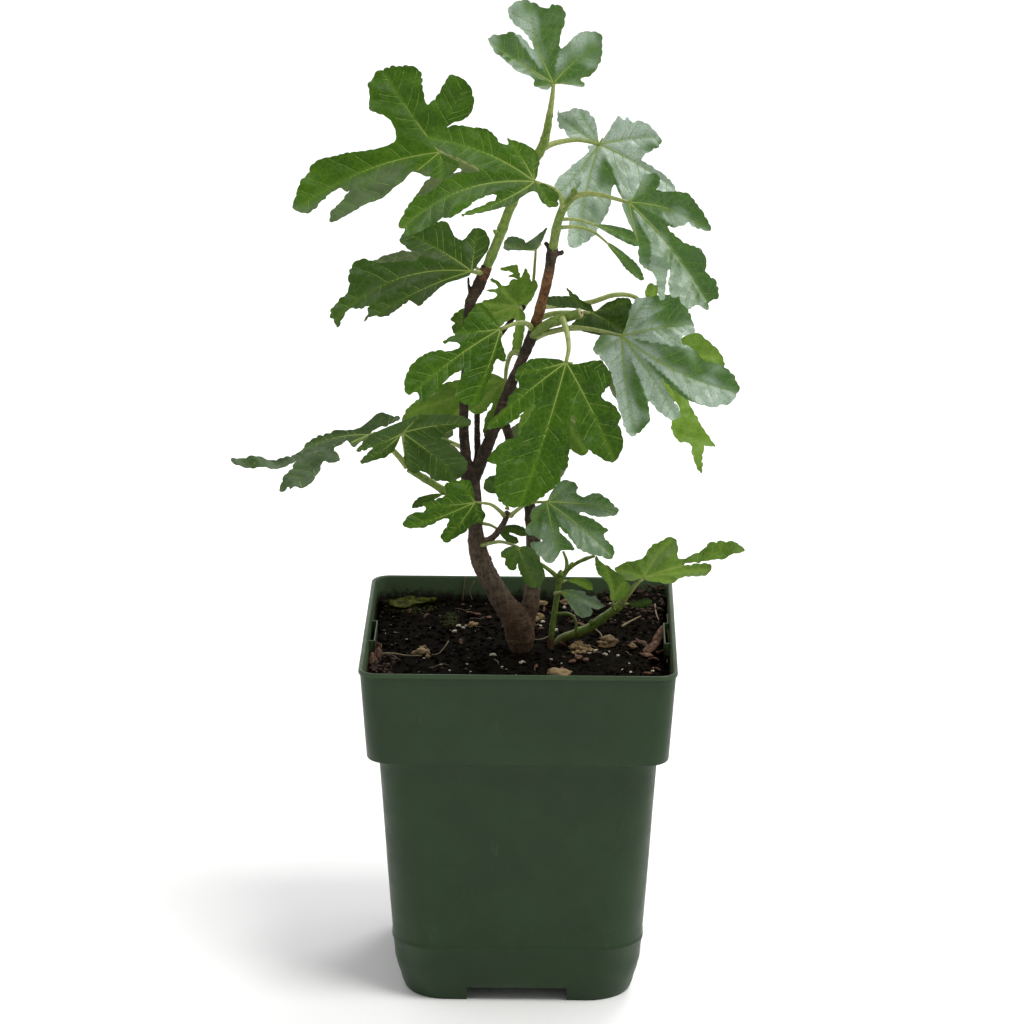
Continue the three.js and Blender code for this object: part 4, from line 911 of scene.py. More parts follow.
        sag=0, lobes=[(10.5, 311, 4, -0.4), (-7.8, 306.5, 4.6, 0.8)], edge=(6.6, 305.2, 10.2, 311.8,
        1.6, 306.2, 0.8, 307.4, -3.4, 308.8, -5.6, 308.4, -7, 304.2, -3, 303.6, 2, 303.9)),
    "leaf_behind_middle": dict(
        stalk=[(-0.4, 279.6, 18), (-1.5, 281, 13)], slope=(-0.1, 0.4), sag=2,
        lobes=[(8, 286.5, 8, 0.4), (-8.5, 290.5, 8, 0.4), (-18, 282.5, 8, 0.5),
        (-28.8, 273.5, 10, 0.8), (-13, 266, 10, 0.5), (-2.2, 262, 7, 0.4)], edge=(2.4, 281.6,
        6.9, 289, 5.4, 291.3, 3, 290.4, -3, 291.3, -6.4, 288.8, -12, 291.7, -9, 288.2, -14.4, 287,
        -9.8, 285.2, -12, 283.5, -26, 278, -28.3, 274.9, -26.7, 273.6, -27.7, 271.4, -26, 268.8,
        -12, 264.6, -7.8, 272.4, -3.4, 275.7, -2.2, 274.6, -3.3, 262, -0.4, 262.4, 1.6, 277)),
    "shoot_tip": dict(
        stalk=[(1, 281, 18.3), (1.8, 284.6, 20)], slope=(0, 0.2), sag=0,
        lobes=[(3.2, 297.4, 4.4, 0.3), (-8.4, 296.8, 3.8, -0.5), (-8.4, 288.6, 3.4, 0.3)],
        edge=(3.4, 290, 2.8, 293.6, 1.2, 296.8, -0.4, 292.6, -1.8, 297.2, -5, 297.2, -8.4, 295.8,
        -5.4, 295.2, -3.4, 294, -5.6, 292.9, -2.6, 292.4, -0.8, 290.6, 0.4, 287)),
    "leaf_behind_left": dict(
        stalk=[(-17.2, 243, 9.3), (-20.3, 244.2, 12)], slope=(-0.2, 0.3), sag=1,
        lobes=[(-30, 249.2, 6, 0.4), (-46.5, 235, 13, -0.8), (-31.5, 226.5, 8, -0.6)],
        edge=(-19, 247.5, -22, 250.4, -30, 248.4, -35, 245.8, -44, 239.8, -47.6, 232.4, -44, 230.6,
        -37, 229, -33, 226.6, -30, 230, -22, 236, -18.8, 240)),
    "leaf_behind_centre": dict(
        stalk=[(0.6, 260.8, -6.3), (-3.8, 261.3, -3), (-5.8, 256, 1), (-6.4, 249.6, 3)],
        slope=(0.1, 0.05), sag=0, lobes=[(-15.5, 250, 7, 0.4), (-19.6, 236.5, 8, -0.6),
        (-13.2, 225.5, 8, 0.5), (-2, 241, 6, 0.4)]),
    "leaf_behind_front": dict(
        stalk=[(-3, 251, -5), (2, 250, -9), (8, 246, -13)], slope=(0, 0.2), sag=1,
        lobes=[(-3, 240, 8, 0.4), (0.5, 225.5, 9, 0.5), (26.2, 219.2, 10, 0.6),
        (21, 236.2, 5, 0.3)]),
    "leaf_back_high": dict(
        stalk=[(-1.2, 330, 8.6), (-6, 331, 22), (-12, 331.6, 34)], slope=(0.3, -0.6), sag=-4,
        lobes=[(-12, 346.5, 15, 0.5), (-34, 347, 14, -1.5), (-42, 317.5, 13, -3.6)]),
    "leaf_back_left": dict(
        stalk=[(-16, 294.6, 4.8), (-21, 298, 18), (-29, 298.6, 31)], slope=(-0.2, -0.5), sag=-4,
        lobes=[(-28.5, 309, 12, 0.4), (-44.5, 309, 15, 0.4), (-66, 287, 14, -2.6)]),
    "leaf_back_right": dict(
        stalk=[(3.2, 266.5, -7), (14, 270.8, 12), (31, 271.3, 30), (42, 265, 38)],
        slope=(-0.2, -0.5), sag=-4, lobes=[(43, 240, 15, -0.4), (60, 240, 14, 0.5),
        (78, 249, 17, 0.8), (64, 275, 16, 0.6), (46, 280, 12, 0.5)]),
    "leaf_back_centre": dict(
        stalk=[(-0.2, 257.2, -5.8), (6, 254, 6), (11, 247, 20), (12, 239, 34)], slope=(0.1, -0.4),
        sag=-4, lobes=[(-4.5, 215, 13, -0.6), (8, 204, 18, 0.6), (33, 224, 15, 0.6),
        (32, 246, 13, 0.6), (12, 254, 10, 0.4)]),
    "leaf_back_low": dict(
        stalk=[(-22.7, 221, 1.2), (-24.5, 222, 14), (-33, 226, 27)], slope=(0.2, -0.4), sag=-3,
        lobes=[(-35, 238.5, 9, 0.3), (-44, 219, 11, -0.4), (-29, 214, 16, 0.6),
        (-27.5, 229, 7, 0.3)]),
}
GROUPS = {
    "glossy": ["leaf_top", "leaf_upper_right", "leaf_right", "leaf_right_low", "leaf_small_right",
               "leaf_young_upper", "leaf_young_lower", "leaf_sucker_low"],
    "fresh": ["leaf_upper_left", "leaf_over_left", "leaf_centre", "leaf_centre_left",
              "leaf_small_left", "leaf_round"],
    "deep": ["leaf_mid_left", "leaf_behind_stub", "leaf_far_left", "leaf_low_left",
             "leaf_low_middle", "leaf_behind_top", "leaf_scrap", "leaf_dry_left",
             "leaf_sucker_narrow"],
    "pale": ["leaf_light_right", "leaf_behind_middle", "shoot_tip", "leaf_behind_left",
             "leaf_behind_centre", "leaf_behind_front", "leaf_sucker_arch", "leaf_sucker_curled",
             "leaf_sucker_big"],
    "back": ["leaf_back_high", "leaf_back_left", "leaf_back_right", "leaf_back_centre",
             "leaf_back_low"],
}
# a lobe's neck and where it is widest, as shares of its width and length
NECK, WIDEST = 0.8, 0.62
# the least gap between lobes, the blade's thickness, steps of the edge and the net
SLIT, BLADE, EDGE_STEP, NET_STEP = 0.9, 0.26, 0.55, 0.85
# how steeply a blade folds up from a midrib, how high it waves, how far a lobe hangs
FOLD, WAVE, MOST_HANG = 0.16, 1.05, 5.5
# a side vein's radius; by order of vein, its sides and its middle over the blade's
SIDE_VEIN, VEIN_SIDES, VEIN_LIFT = 0.165, (6, 5, 4), (-0.1, 0.01, -0.03)
STALK_STEP, STALK_SIDES = 1.6, 9
print("leaves:", {group: len(names) for group, names in GROUPS.items()})

# %% [markdown]
# ## Leaf outline
#
# Each lobe is a bent midrib with a width along it, narrow at the neck and
# widest past the middle. Where two necks come apart the lobes part, at a round
# cleft. That alone gives the outline of a leaf at the back. A leaf in front is
# drawn by its turning points, with a curve between them.
#
# Teeth could be modelled one by one. They are small and uneven, so they are a
# wave of random length and depth laid along the outline, boldest at the tips.


# %% A lobe
class Lobe:
    """One lobe: its bent midrib, and its half-width along it."""

    def __init__(self, base, row):
        self.start = np.array(base[:2], float)
        self.tip = np.array(row[:2], float)
        self.full = row[2] / 2
        self.neck = row[4] if len(row) > 4 else NECK
        run = self.tip - self.start
        self.length = float(np.linalg.norm(run))
        left = np.array([-run[1], run[0]]) / self.length
        self.knee = (self.start + self.tip) / 2 + 2 * row[3] * left

    def at(self, t):
        t = np.asarray(t, float)[..., None]
        return (1 - t) ** 2 * self.start + 2 * t * (1 - t) * self.knee + t ** 2 * self.tip

    def left(self, t):
        t = np.asarray(t, float)[..., None]
        way = 2 * (1 - t) * (self.knee - self.start) + 2 * t * (self.tip - self.knee)
        way /= np.linalg.norm(way, axis=-1)[..., None]
        return np.stack([-way[..., 1], way[..., 0]], -1)

    def half(self, t, neck_at):
        past = np.clip((t - WIDEST) / (1 - WIDEST), 0, 1)
        end = self.full * np.sqrt(1 - past ** 2)
        if neck_at > 0:
            rise = smooth_step(t, neck_at, WIDEST)
            grow = self.full * (self.neck + (1 - self.neck) * rise)
        else:
            grow = self.full * (0.2 + 0.8 * np.sqrt(smooth_step(t, 0, WIDEST)))
        return np.where(t >= WIDEST, end, grow)


print("a lobe to the right, half way:", Lobe((0, 0), (20, 0, 8, 1)).at(0.5))


# %% Outline from lobes, outline from points, teeth
def sinus(one, other):
    """How far out two neighbours part, and the point between them."""
    reach = 0.8 * min(one.length, other.length)
    out = np.linspace(0, reach, 81)[1:]
    gap = np.linalg.norm(one.at(out / one.length) - other.at(out / other.length), axis=1)
    apart = one.neck * one.full + other.neck * other.full
    wide = np.nonzero(gap >= apart)[0]
    place = out[wide[0]] if len(wide) else reach
    middle = (one.at(place / one.length) + other.at(place / other.length)) / 2
    return place, middle


def even_loop(points, step):
    """A closed line resampled at an even step."""
    closed = np.vstack([points, points[:1]])
    run = run_along(closed)
    count = max(8, int(run[-1] / step))
    spots = np.linspace(0, run[-1], count + 1)[:-1]
    return np.stack([np.interp(spots, run, closed[:, k]) for k in (0, 1)], -1)


def lobed_edge(lobes):
    """The edge worked out from the lobes alone, from the base and round."""
    gaps = [sinus(one, other) for one, other in zip(lobes, lobes[1:])]
    line = [lobes[0].start]
    for i, lobe in enumerate(lobes):
        sides = {}
        for side in (-1, 1):
            gap = gaps[i + min(side, 0)] if 0 <= i + min(side, 0) < len(gaps) else None
            other = lobes[i + side] if gap else None
            neck_at = gap[0] / lobe.length if gap else 0
            t = np.linspace(neck_at, 1, 48)[1:-1]
            t = t[t > neck_at + 0.03]
            half = lobe.half(t, neck_at)
            if other is not None:
                near = other.at(np.minimum(1, t * lobe.length / other.length))
                room = (np.linalg.norm(near - lobe.at(t), axis=1) - SLIT) / 2
                half = np.minimum(half, np.maximum(0.5, room))
            sides[side] = lobe.at(t) + lobe.left(t) * side * half[:, None]
        line += [*sides[-1], lobe.tip, *sides[1][::-1]]
        if i < len(gaps):
            line.append(gaps[i][1])
    line = even_loop(np.array(line), EDGE_STEP)
    fixed = [int(np.argmin(np.linalg.norm(line - spot, axis=1)))
             for spot in (lobes[0].start, *(lobe.tip for lobe in lobes))]
    kept = line[fixed]
    for _ in range(5):
        line = line + 0.5 * ((np.roll(line, 1, 0) + np.roll(line, -1, 0)) / 2 - line)
        line[fixed] = 0.6 * line[fixed] + 0.4 * kept
    return line


def drawn_edge(points):
    """The edge as a curve through set points: round in the runs, sharp at tips and clefts."""
    points = np.array(points, float)
    after = np.roll(points, -1, 0) - points
    before = np.roll(after, 1, 0)
    run = np.linalg.norm(after, axis=1)
    way = 0.95 * (after + before) / (run + np.roll(run, 1))[:, None]
    t = np.linspace(0, 1, 14, endpoint=False)[:, None]
    parts = []
    for k in range(len(points)):
        n = (k + 1) % len(points)
        parts.append(
            (2 * t ** 3 - 3 * t ** 2 + 1) * points[k] + (3 * t ** 2 - 2 * t ** 3) * points[n]
            + run[k] * ((t ** 3 - 2 * t ** 2 + t) * way[k] + (t ** 3 - t ** 2) * way[n]))
    return even_loop(np.vstack(parts), EDGE_STEP)


def with_teeth(line, lobes, dice, depth, spacing):
    """Scallops of uneven size, boldest round the tips and gone at the base and in the clefts."""
    way = np.roll(line, -1, 0) - np.roll(line, 1, 0)
    out = np.stack([way[:, 1], -way[:, 0]], -1)
    out /= np.linalg.norm(out, axis=1)[:, None] + 1e-9
    reach = np.max([
        np.clip(1 - np.linalg.norm(line - lobe.tip, axis=1) / (0.7 * lobe.length), 0, 1)
        for lobe in lobes], 0)
    from_base = np.linalg.norm(line - lobes[0].start, axis=1)
    weight = (0.25 + 0.75 * smooth_step(reach, 0.0, 0.4)) * smooth_step(from_base, 3, 8)
    run = run_along(line)
    stops = [0.0]
    while stops[-1] < run[-1]:
        stops.append(stops[-1] + dice.uniform(0.7, 1.4) * spacing)
    stops = np.array(stops)
    k = np.clip(np.searchsorted(stops, run, side="right") - 1, 0, len(stops) - 2)
    u = (run - stops[k]) / (stops[k + 1] - stops[k])
    sizes = np.array([dice.uniform(0.35, 1.35) for _ in stops])
    bite = (1 - np.abs(1.6 * u - 0.9) ** 2.2) * sizes[k] - 0.45
    swell = 0.5 * np.sin(run / 2.9 + dice.uniform(0, 6))
    swell += 0.4 * np.sin(run / 4.7 + dice.uniform(0, 6))
    return line + out * (weight * depth * (bite + 0.6 * swell))[:, None]


print("points round a 10 mm square:", len(drawn_edge([(0, 0), (10, 0), (10, 10), (0, 10)])))

# %% [markdown]
# ## Veins
#
# A main vein runs to the tip of each lobe, side veins leave it in pairs that
# bend forward, and small ones leave those. A net of lines in the finish would
# be simple, but it would not meet the lobes. So veins are grown as lines: a side
# vein stops at the edge of the blade, or where another lobe's midrib is nearer.


# %% Leaf veins
def leaf_veins(lobes, line, dice, size, fine):
    """Main veins to the tips, side veins off them and small ones off those."""
    mains = [lobe.at(np.linspace(0, 0.97, max(6, int(lobe.length / 1.3)))) for lobe in lobes]
    veins = []
    for lobe, path in zip(lobes, mains):
        taper = (1 - np.linspace(0, 0.97, len(path))) ** 0.8
        radii = 0.34 * size * min(1, 0.45 + lobe.length / 45) * taper + 0.15
        out = np.nonzero(~inside_loop(path[3:], line))[0]
        stop = out[0] + 3 if len(out) else len(path)
        veins.append((path[:stop], radii[:stop], 0))

    def branch(start, ahead, left, reach, thick, own, order):
        s = np.linspace(0, 1, 16 if order == 1 else 7)[:, None]
        wave = 0.05 * np.sin(s * 7 + dice.uniform(0, 6)) * s
        path = start + left * reach * (0.82 * s + wave) + ahead * reach * (0.5 * s + 0.34 * s ** 2)
        ours = np.argmin([gap_to(path, [main]) for main in mains], 0) == own
        good = inside_loop(path, line) & (ours | (np.arange(len(path)) < 2))
        stop = len(path) if good.all() else int(np.argmin(good))
        if stop < 4:
            return None
        path = path[:stop]
        veins.append((path, thick * np.linspace(1, 0.75, stop), order))
        return path

    for own, lobe in enumerate(lobes):
        if lobe.length < 9:
            continue
        step = max(4.2, lobe.length / 7)
        spot = step * 0.8
        side = 1
        while spot < lobe.length * 0.92:
            for way in (side, -side):
                t0 = min(0.94, (spot + (0 if way == side else step * 0.35)) / lobe.length)
                left = lobe.left(t0) * way
                ahead = np.array([lobe.left(t0)[1], -lobe.left(t0)[0]])
                thick = SIDE_VEIN * size + 0.05
                main = branch(lobe.at(t0), ahead, left, 2.4 * lobe.full, thick, own, 1)
                if main is None or len(main) < 7 or not fine:
                    continue
                for k in range(4, len(main) - 1, 3):
                    run = main[k] - main[k - 1]
                    run /= np.linalg.norm(run)
                    turn = np.array([-run[1], run[0]]) * (1 if k % 2 else -1)
                    branch(main[k], run, turn, step * 0.8, 0.145, own, 2)
            spot += step * dice.uniform(0.85, 1.15)
            side = -side
    return veins


def inside_loop(points, line):
    """Which points lie inside a closed line."""
    x, y = points[:, 0][:, None], points[:, 1][:, None]
    ax, ay = line[:, 0][None], line[:, 1][None]
    bx, by = np.roll(line[:, 0], -1)[None], np.roll(line[:, 1], -1)[None]
    crosses = (ay > y) != (by > y)
    slant = np.where(crosses, (bx - ax) * (y - ay) / np.where(by == ay, 1, by - ay) + ax, 0)
    return (crosses & (x < slant)).sum(1) % 2 == 1


def foot_on(points, lines):
    """Distance to the nearest of some open lines, and the way from it, for each point."""
    best = np.full(len(points), 99.0)
    away = np.zeros((len(points), 2))
    for line in lines:
        start, run = line[:-1], np.diff(line, axis=0)
        size = (run ** 2).sum(1) + 1e-9
        t = np.clip(((points[:, None] - start[None]) * run[None]).sum(-1) / size, 0, 1)
        gap = points[:, None] - (start[None] + t[..., None] * run[None])
        far = np.linalg.norm(gap, axis=-1)
        k = far.argmin(1)
        each = np.arange(len(points))
        near = far[each, k] < best
        best[near] = far[each, k][near]
        away[near] = (gap[each, k] / (far[each, k] + 1e-6)[:, None])[near]
    return best, away


def gap_to(points, lines):
    return foot_on(points, lines)[0]


across = np.array([[-9.0, 0], [9, 0]])
print("from (3, 4) to the x axis:", gap_to(np.array([[3.0, 4]]), [across])[0])

# %% [markdown]
# ## Blade
#
# The blade is a thin sheet: a fine triangle net inside the outline, front and
# back, closed round the rim. A subdivided plane cut to shape would leave a
# stepped edge, so the net is triangulated inside the outline itself.
#
# It is folded a little along every midrib, puckered between the veins, waved
# towards the edge, and each lobe hangs at its own depth. The waxy bloom of young
# fig leaves, with a painted sheen of reflected light on it, is coloured in on one
# side of each midrib.


# %% A leaf
def largest_part(faces, count):
    """The triangles of the biggest connected part of a net."""
    part = np.arange(count)
    while True:
        before = part.copy()
        np.minimum.at(part, faces, part[faces].min(1)[:, None])
        if (part == before).all():
            home = part[faces[:, 0]]
            return faces[home == np.bincount(home).argmax()]


class Leaf:
    """A leaf's edge, veins and the curved sheet that carries them."""

    def __init__(self, name, row, number):
        self.row = row
        self.dice = random.Random(1000 + number)
        self.base = base = row["stalk"][-1]
        self.lobes = [Lobe(base, lobe) for lobe in row["lobes"]]
        self.reach = max(lobe.length for lobe in self.lobes)
        small = min(1, 0.45 + self.reach / 60)
        if "edge" in row:
            turns = np.reshape(base[:2] + row["edge"], (-1, 2))
            line, depth, spacing = drawn_edge(turns), 0.75, 3.2
        else:
            line, depth, spacing = lobed_edge(self.lobes), 0.62, 2.8
        self.line = with_teeth(line, self.lobes, self.dice, depth * small, spacing * small)
        fine = name not in GROUPS["glossy"]
        self.veins = leaf_veins(self.lobes, self.line, self.dice, small, fine)
        across, upward = row["slope"]
        spot = sight(*base)
        one = sight(base[0] + 1, base[1], base[2] + across) - spot
        other = sight(base[0], base[1] + 1, base[2] + upward) - spot
        normal = np.cross(one, other)
        self.front = normal / np.linalg.norm(normal)
        if self.front[1] > 0:
            self.front = -self.front
        self.upper_in_front = self.front[2] >= 0
        hung = random.Random(3000 + number)
        most = MOST_HANG * min(1, self.reach / 38) / (1 + abs(upward))
        self.hang = np.array([hung.uniform(-1, 1) * most for _ in self.lobes])
        self.waves = [tuple(self.dice.uniform(*span) for span in ((0, 6.28), (0, 6.28), (8, 15)))
                      for _ in range(4)]

    def lines(self, order):
        """The veins of one order: 0 runs to a tip, 1 leaves one of those."""
        return [vein[0] for vein in self.veins if vein[2] == order]

    def bend(self, points):
        """How far the sheet stands towards the front, in millimetres."""
        sides = self.lines(1)
        to_main = gap_to(points, self.lines(0))
        to_side = gap_to(points, sides) if sides else np.full(len(points), 9.0)
        up = 1 if self.upper_in_front else -1
        scale = min(1, 0.35 + self.reach / 50)
        fold = FOLD * to_main ** 1.1 * scale
        x, y = points.T
        wavy = sum(np.sin((x * math.cos(a) + y * math.sin(a)) * 6.28 / size + phase)
                   for a, phase, size in self.waves) / 2.4
        wavy = WAVE * scale * wavy * smooth_step(to_main, 1.5, 8)
        near = np.minimum(to_main * 0.8, to_side)
        pucker = 0.6 * scale * (1 - np.exp(-(near / 1.7) ** 2))
        pucker -= 0.22 * scale * np.exp(-(to_main / 0.9) ** 2)
        return up * (fold + wavy + pucker)

    def sheen(self, points):
        """Where the waxy bloom and a painted sheen of reflected light go: on one side of every
        midrib, in soft-edged patches.
        """
        across, upward, amount, whole, top = self.row.get("bloom_and_painted_sheen", (0, 0, 0, 0, 0))
        far, away = foot_on(points, self.lines(0))
        side = away @ np.array([across, upward]) / max(1e-6, math.hypot(across, upward))
        seed = self.waves[0][0]
        patch = np.array([noise.noise(Vector((x / 9, y / 9, seed))) for x, y in points])
        lit = smooth_step(side * smooth_step(far, 0, 4.5) + whole + 1.2 * patch, -0.5, 0.8)
        lit *= 1 - smooth_step(points[:, 1], top, top + 8)
        return amount * lit * (0.6 + 0.4 * smooth_step(far, 0.2, 1.3))

    def droop(self, points):
        """Each lobe hangs forward or back by its own amount, most at the tip."""
        gaps = np.array([gap_to(points, [lobe.at(np.linspace(0, 1, 12))]) for lobe in self.lobes])
        share = np.exp(-gaps / 5)
        share /= share.sum(0)
        from_base = np.linalg.norm(points - self.lobes[0].start, axis=1) / self.reach
        return (share * self.hang[:, None]).sum(0) * from_base ** 1.7

    def place(self, points, lift=0.0, bend=None):
        """Points of the flat outline, set on the curved sheet, in metres."""
        dx = points[:, 0] - self.base[0]
        dv = points[:, 1] - self.base[1]
        depth = (self.base[2] + self.row["slope"][0] * dx + self.row["slope"][1] * dv
                 - self.row["sag"] * (dx ** 2 + dv ** 2) / self.reach ** 2 + self.droop(points))
        bend = self.bend(points) if bend is None else bend
        proud = self.front * ((bend + lift) * MM)[:, None]
        return sight(points[:, 0], points[:, 1], depth) + proud

    def net(self):
        """Triangles inside the edge, as points and corner numbers."""
        step, low, high = NET_STEP, self.line.min(0), self.line.max(0)
        rows = np.arange(low[1], high[1], step * 0.866)
        inner = np.array([(x + (step / 2 if k % 2 else 0), y) for k, y in enumerate(rows)
                          for x in np.arange(low[0], high[0], step)])
        inner = inner[inside_loop(inner, self.line)]
        loop = np.vstack([self.line, self.line[:1]])
        inner = inner[gap_to(inner, [loop]) > step * 0.45] if len(inner) else inner.reshape(0, 2)
        points = [Vector(p) for p in np.vstack([self.line, inner])]
        edge = list(range(len(self.line)))
        found = geometry.delaunay_2d_cdt(points, [], [edge], 1, 1e-4)
        flat = np.array([p[:] for p in found[0]])
        faces = largest_part(np.array([f for f in found[2] if len(f) == 3]), len(flat))
        used, faces = np.unique(faces, return_inverse=True)
        return flat[used], faces.reshape(-1, 3)


sample = Leaf("leaf_centre", LEAVES["leaf_centre"], 0)
print("the centre leaf has", len(sample.veins), "veins and", len(sample.net()[0]), "net points")


# %% Rim of the net, and room on the colour map
def edge_pairs(faces):
    """Directed edges that only one face has: the edge of the sheet."""
    seen = dict.fromkeys(
        pair for face in faces for pair in zip(face, (*face[1:], face[0])))
    return [(a, b) for a, b in seen if (b, a) not in seen]


def shelf_pack(sizes):
    """Places rectangles on shelves in the smallest square that takes them."""
    order = sorted(range(len(sizes)), key=lambda k: -sizes[k][1])
    side = math.sqrt(sum(w * h for w, h in sizes))
    while True:
        x = y = shelf = 0
        spots, fits = {}, True
        for k in order:
            w, h = sizes[k]
            if x + w > side:
                x, y, shelf = 0, y + shelf, 0
            if y + h > side or w > side:
                fits = False
                break
            spots[k] = (x, y)
            x += w
            shelf = max(shelf, h)
        if fits:
            return side, spots
        side *= 1.02


print("four unit squares pack in a side of", round(shelf_pack([(1, 1)] * 4)[0], 2))

# %% [markdown]
# ## Leaf finishes
#
# The upper face is a mid green with a fine net of small veins, and a little
# yellow beside each main vein. The underside is paler and greyer. On the shiny
# leaves a silvery waxy bloom with a painted sheen of reflected light covers part
# of the green and breaks along the net.
#
# One leaf material with a random hue would be quicker. Young, old, shaded and
# shiny leaves differ in gloss as well as colour, so there are five, and the
# tone mark shifts each leaf between its dark and its light green.


# %% Leaf finishes
def leaf_finish(name, dark, light, roughness, specular=0.3, bloom_and_sheen_colour=None, under=False):
    finish = Finish(name, roughness, specular)
    each = finish.mark("tone")
    cloud = finish.noise(16, 3)
    tone = finish.plus(finish.times(each, 0.6),
                       finish.times(finish.steps(cloud, 0.3, 0.7), 0.4))
    base = finish.mix(tone, dark, light)
    fine = finish.steps(finish.cells(2.6), 0.0, 0.1, 1, 0)
    finer = finish.steps(finish.cells(0.85), 0.0, 0.12, 1, 0)
    net = finish.plus(finish.times(fine, 0.2), finish.times(finer, 0.1))
    pale = tuple(min(255, c + d) for c, d in zip(light, (46, 42, 26)))
    base = finish.mix(net, base, pale)
    near = finish.mark("rib")
    base = finish.mix(finish.times(near, 0.3), base, pale)
    rough = finish.steps(finish.noise(3, 3), 0.3, 0.7, roughness - 0.06, roughness + 0.08)
    # painted sheen: a silvery colour standing for light reflected off the waxy bloom, laid by the
    # leaf's mark and broken by speckle, quilting and the vein net
    if bloom_and_sheen_colour:
        lies = finish.mark("bloom_and_painted_sheen")
        speck = finish.steps(finish.noise(0.9, 3, 0.6), 0.3, 0.62, 0.78, 1.0)
        quilt = finish.times(speck, finish.steps(finish.noise(6, 3), 0.3, 0.55, 0.74, 1.0))
        crackle = finish.times(quilt, finish.steps(finish.cells(1.1), 0.0, 0.12, 0.66, 1.0))
        share = finish.times(lies, crackle)
        base = finish.mix(share, base, bloom_and_sheen_colour)
    finish.colour(base)
    finish.roughness(rough)
    finish.bump(finish.plus(finish.times(fine, -0.6), finish.noise(0.5, 2)),
                0.09 if under else 0.06, 0.5)
    return finish


UNDER = leaf_finish("leaf_under", (76, 96, 54), (106, 124, 76), 0.62, under=True)
# each leaf finish but the back one ends with its silvery colour for the waxy bloom and its painted
# sheen of reflected light
FINISHES = {
    "glossy": leaf_finish("leaf_glossy", (50, 84, 32), (76, 114, 48), 0.34, 0.35, (184, 202, 188)),
    "fresh": leaf_finish("leaf_fresh", (25, 56, 6), (66, 105, 14), 0.46, 0.15, (104, 114, 92)),
    "deep": leaf_finish("leaf_deep", (29, 55, 11), (56, 87, 21), 0.48, 0.2, (96, 106, 84)),
    "pale": leaf_finish("leaf_pale", (64, 100, 26), (112, 146, 50), 0.48, 0.2, (132, 142, 108)),
    "back": leaf_finish("leaf_back", (34, 64, 10), (60, 92, 18), 0.46, 0.2),
}
print("leaf finishes:", ", ".join(FINISHES))

# %% Vein, shoot and stalk finishes
rib = two_tone("leaf_rib", (0.45, 0.3), (4, 2), (116, 142, 54), (152, 168, 88),
               (0.4, 2), (0.04, 0.4))
side_rib = two_tone("leaf_side_vein", (0.5, 0.2), (4, 2), (96, 126, 44), (128, 154, 72),
                    (0.4, 2), (0.03, 0.3))
stalk_skin = two_tone("leaf_stalk", (0.44, 0.35), (1.6, 3, 0.6), (118, 134, 66), (150, 160, 92),
                      (1.6, 3, 0.6), (0.04, 0.4), (0.3, 0.7))
shoot = Finish("green_shoot", 0.46, 0.35)
streak = shoot.noise(1.6, 4, 0.6)
blush = shoot.steps(shoot.noise(9, 3), 0.55, 0.78)
green = shoot.mix(shoot.steps(streak, 0.3, 0.7), (86, 110, 38), (120, 142, 60))
green = shoot.mix(shoot.times(blush, 0.35), green, (112, 92, 56))
shoot.colour(shoot.mix(shoot.mark("woody"), green, (84, 58, 40)))
shoot.bump(streak, 0.06, 0.4)
print("materials so far:", len(bpy.data.materials))

# %% [markdown]
# ## The leaves, grown
#
# Leaves of one finish become one piece, wherever they sit on the plant. Each
# could be unwrapped by angle, which tears a leaf in bits. A leaf is nearly flat,
# so its own outline is its map: front and back lie side by side on one sheet,
# packed on shelves like prints, tallest first.

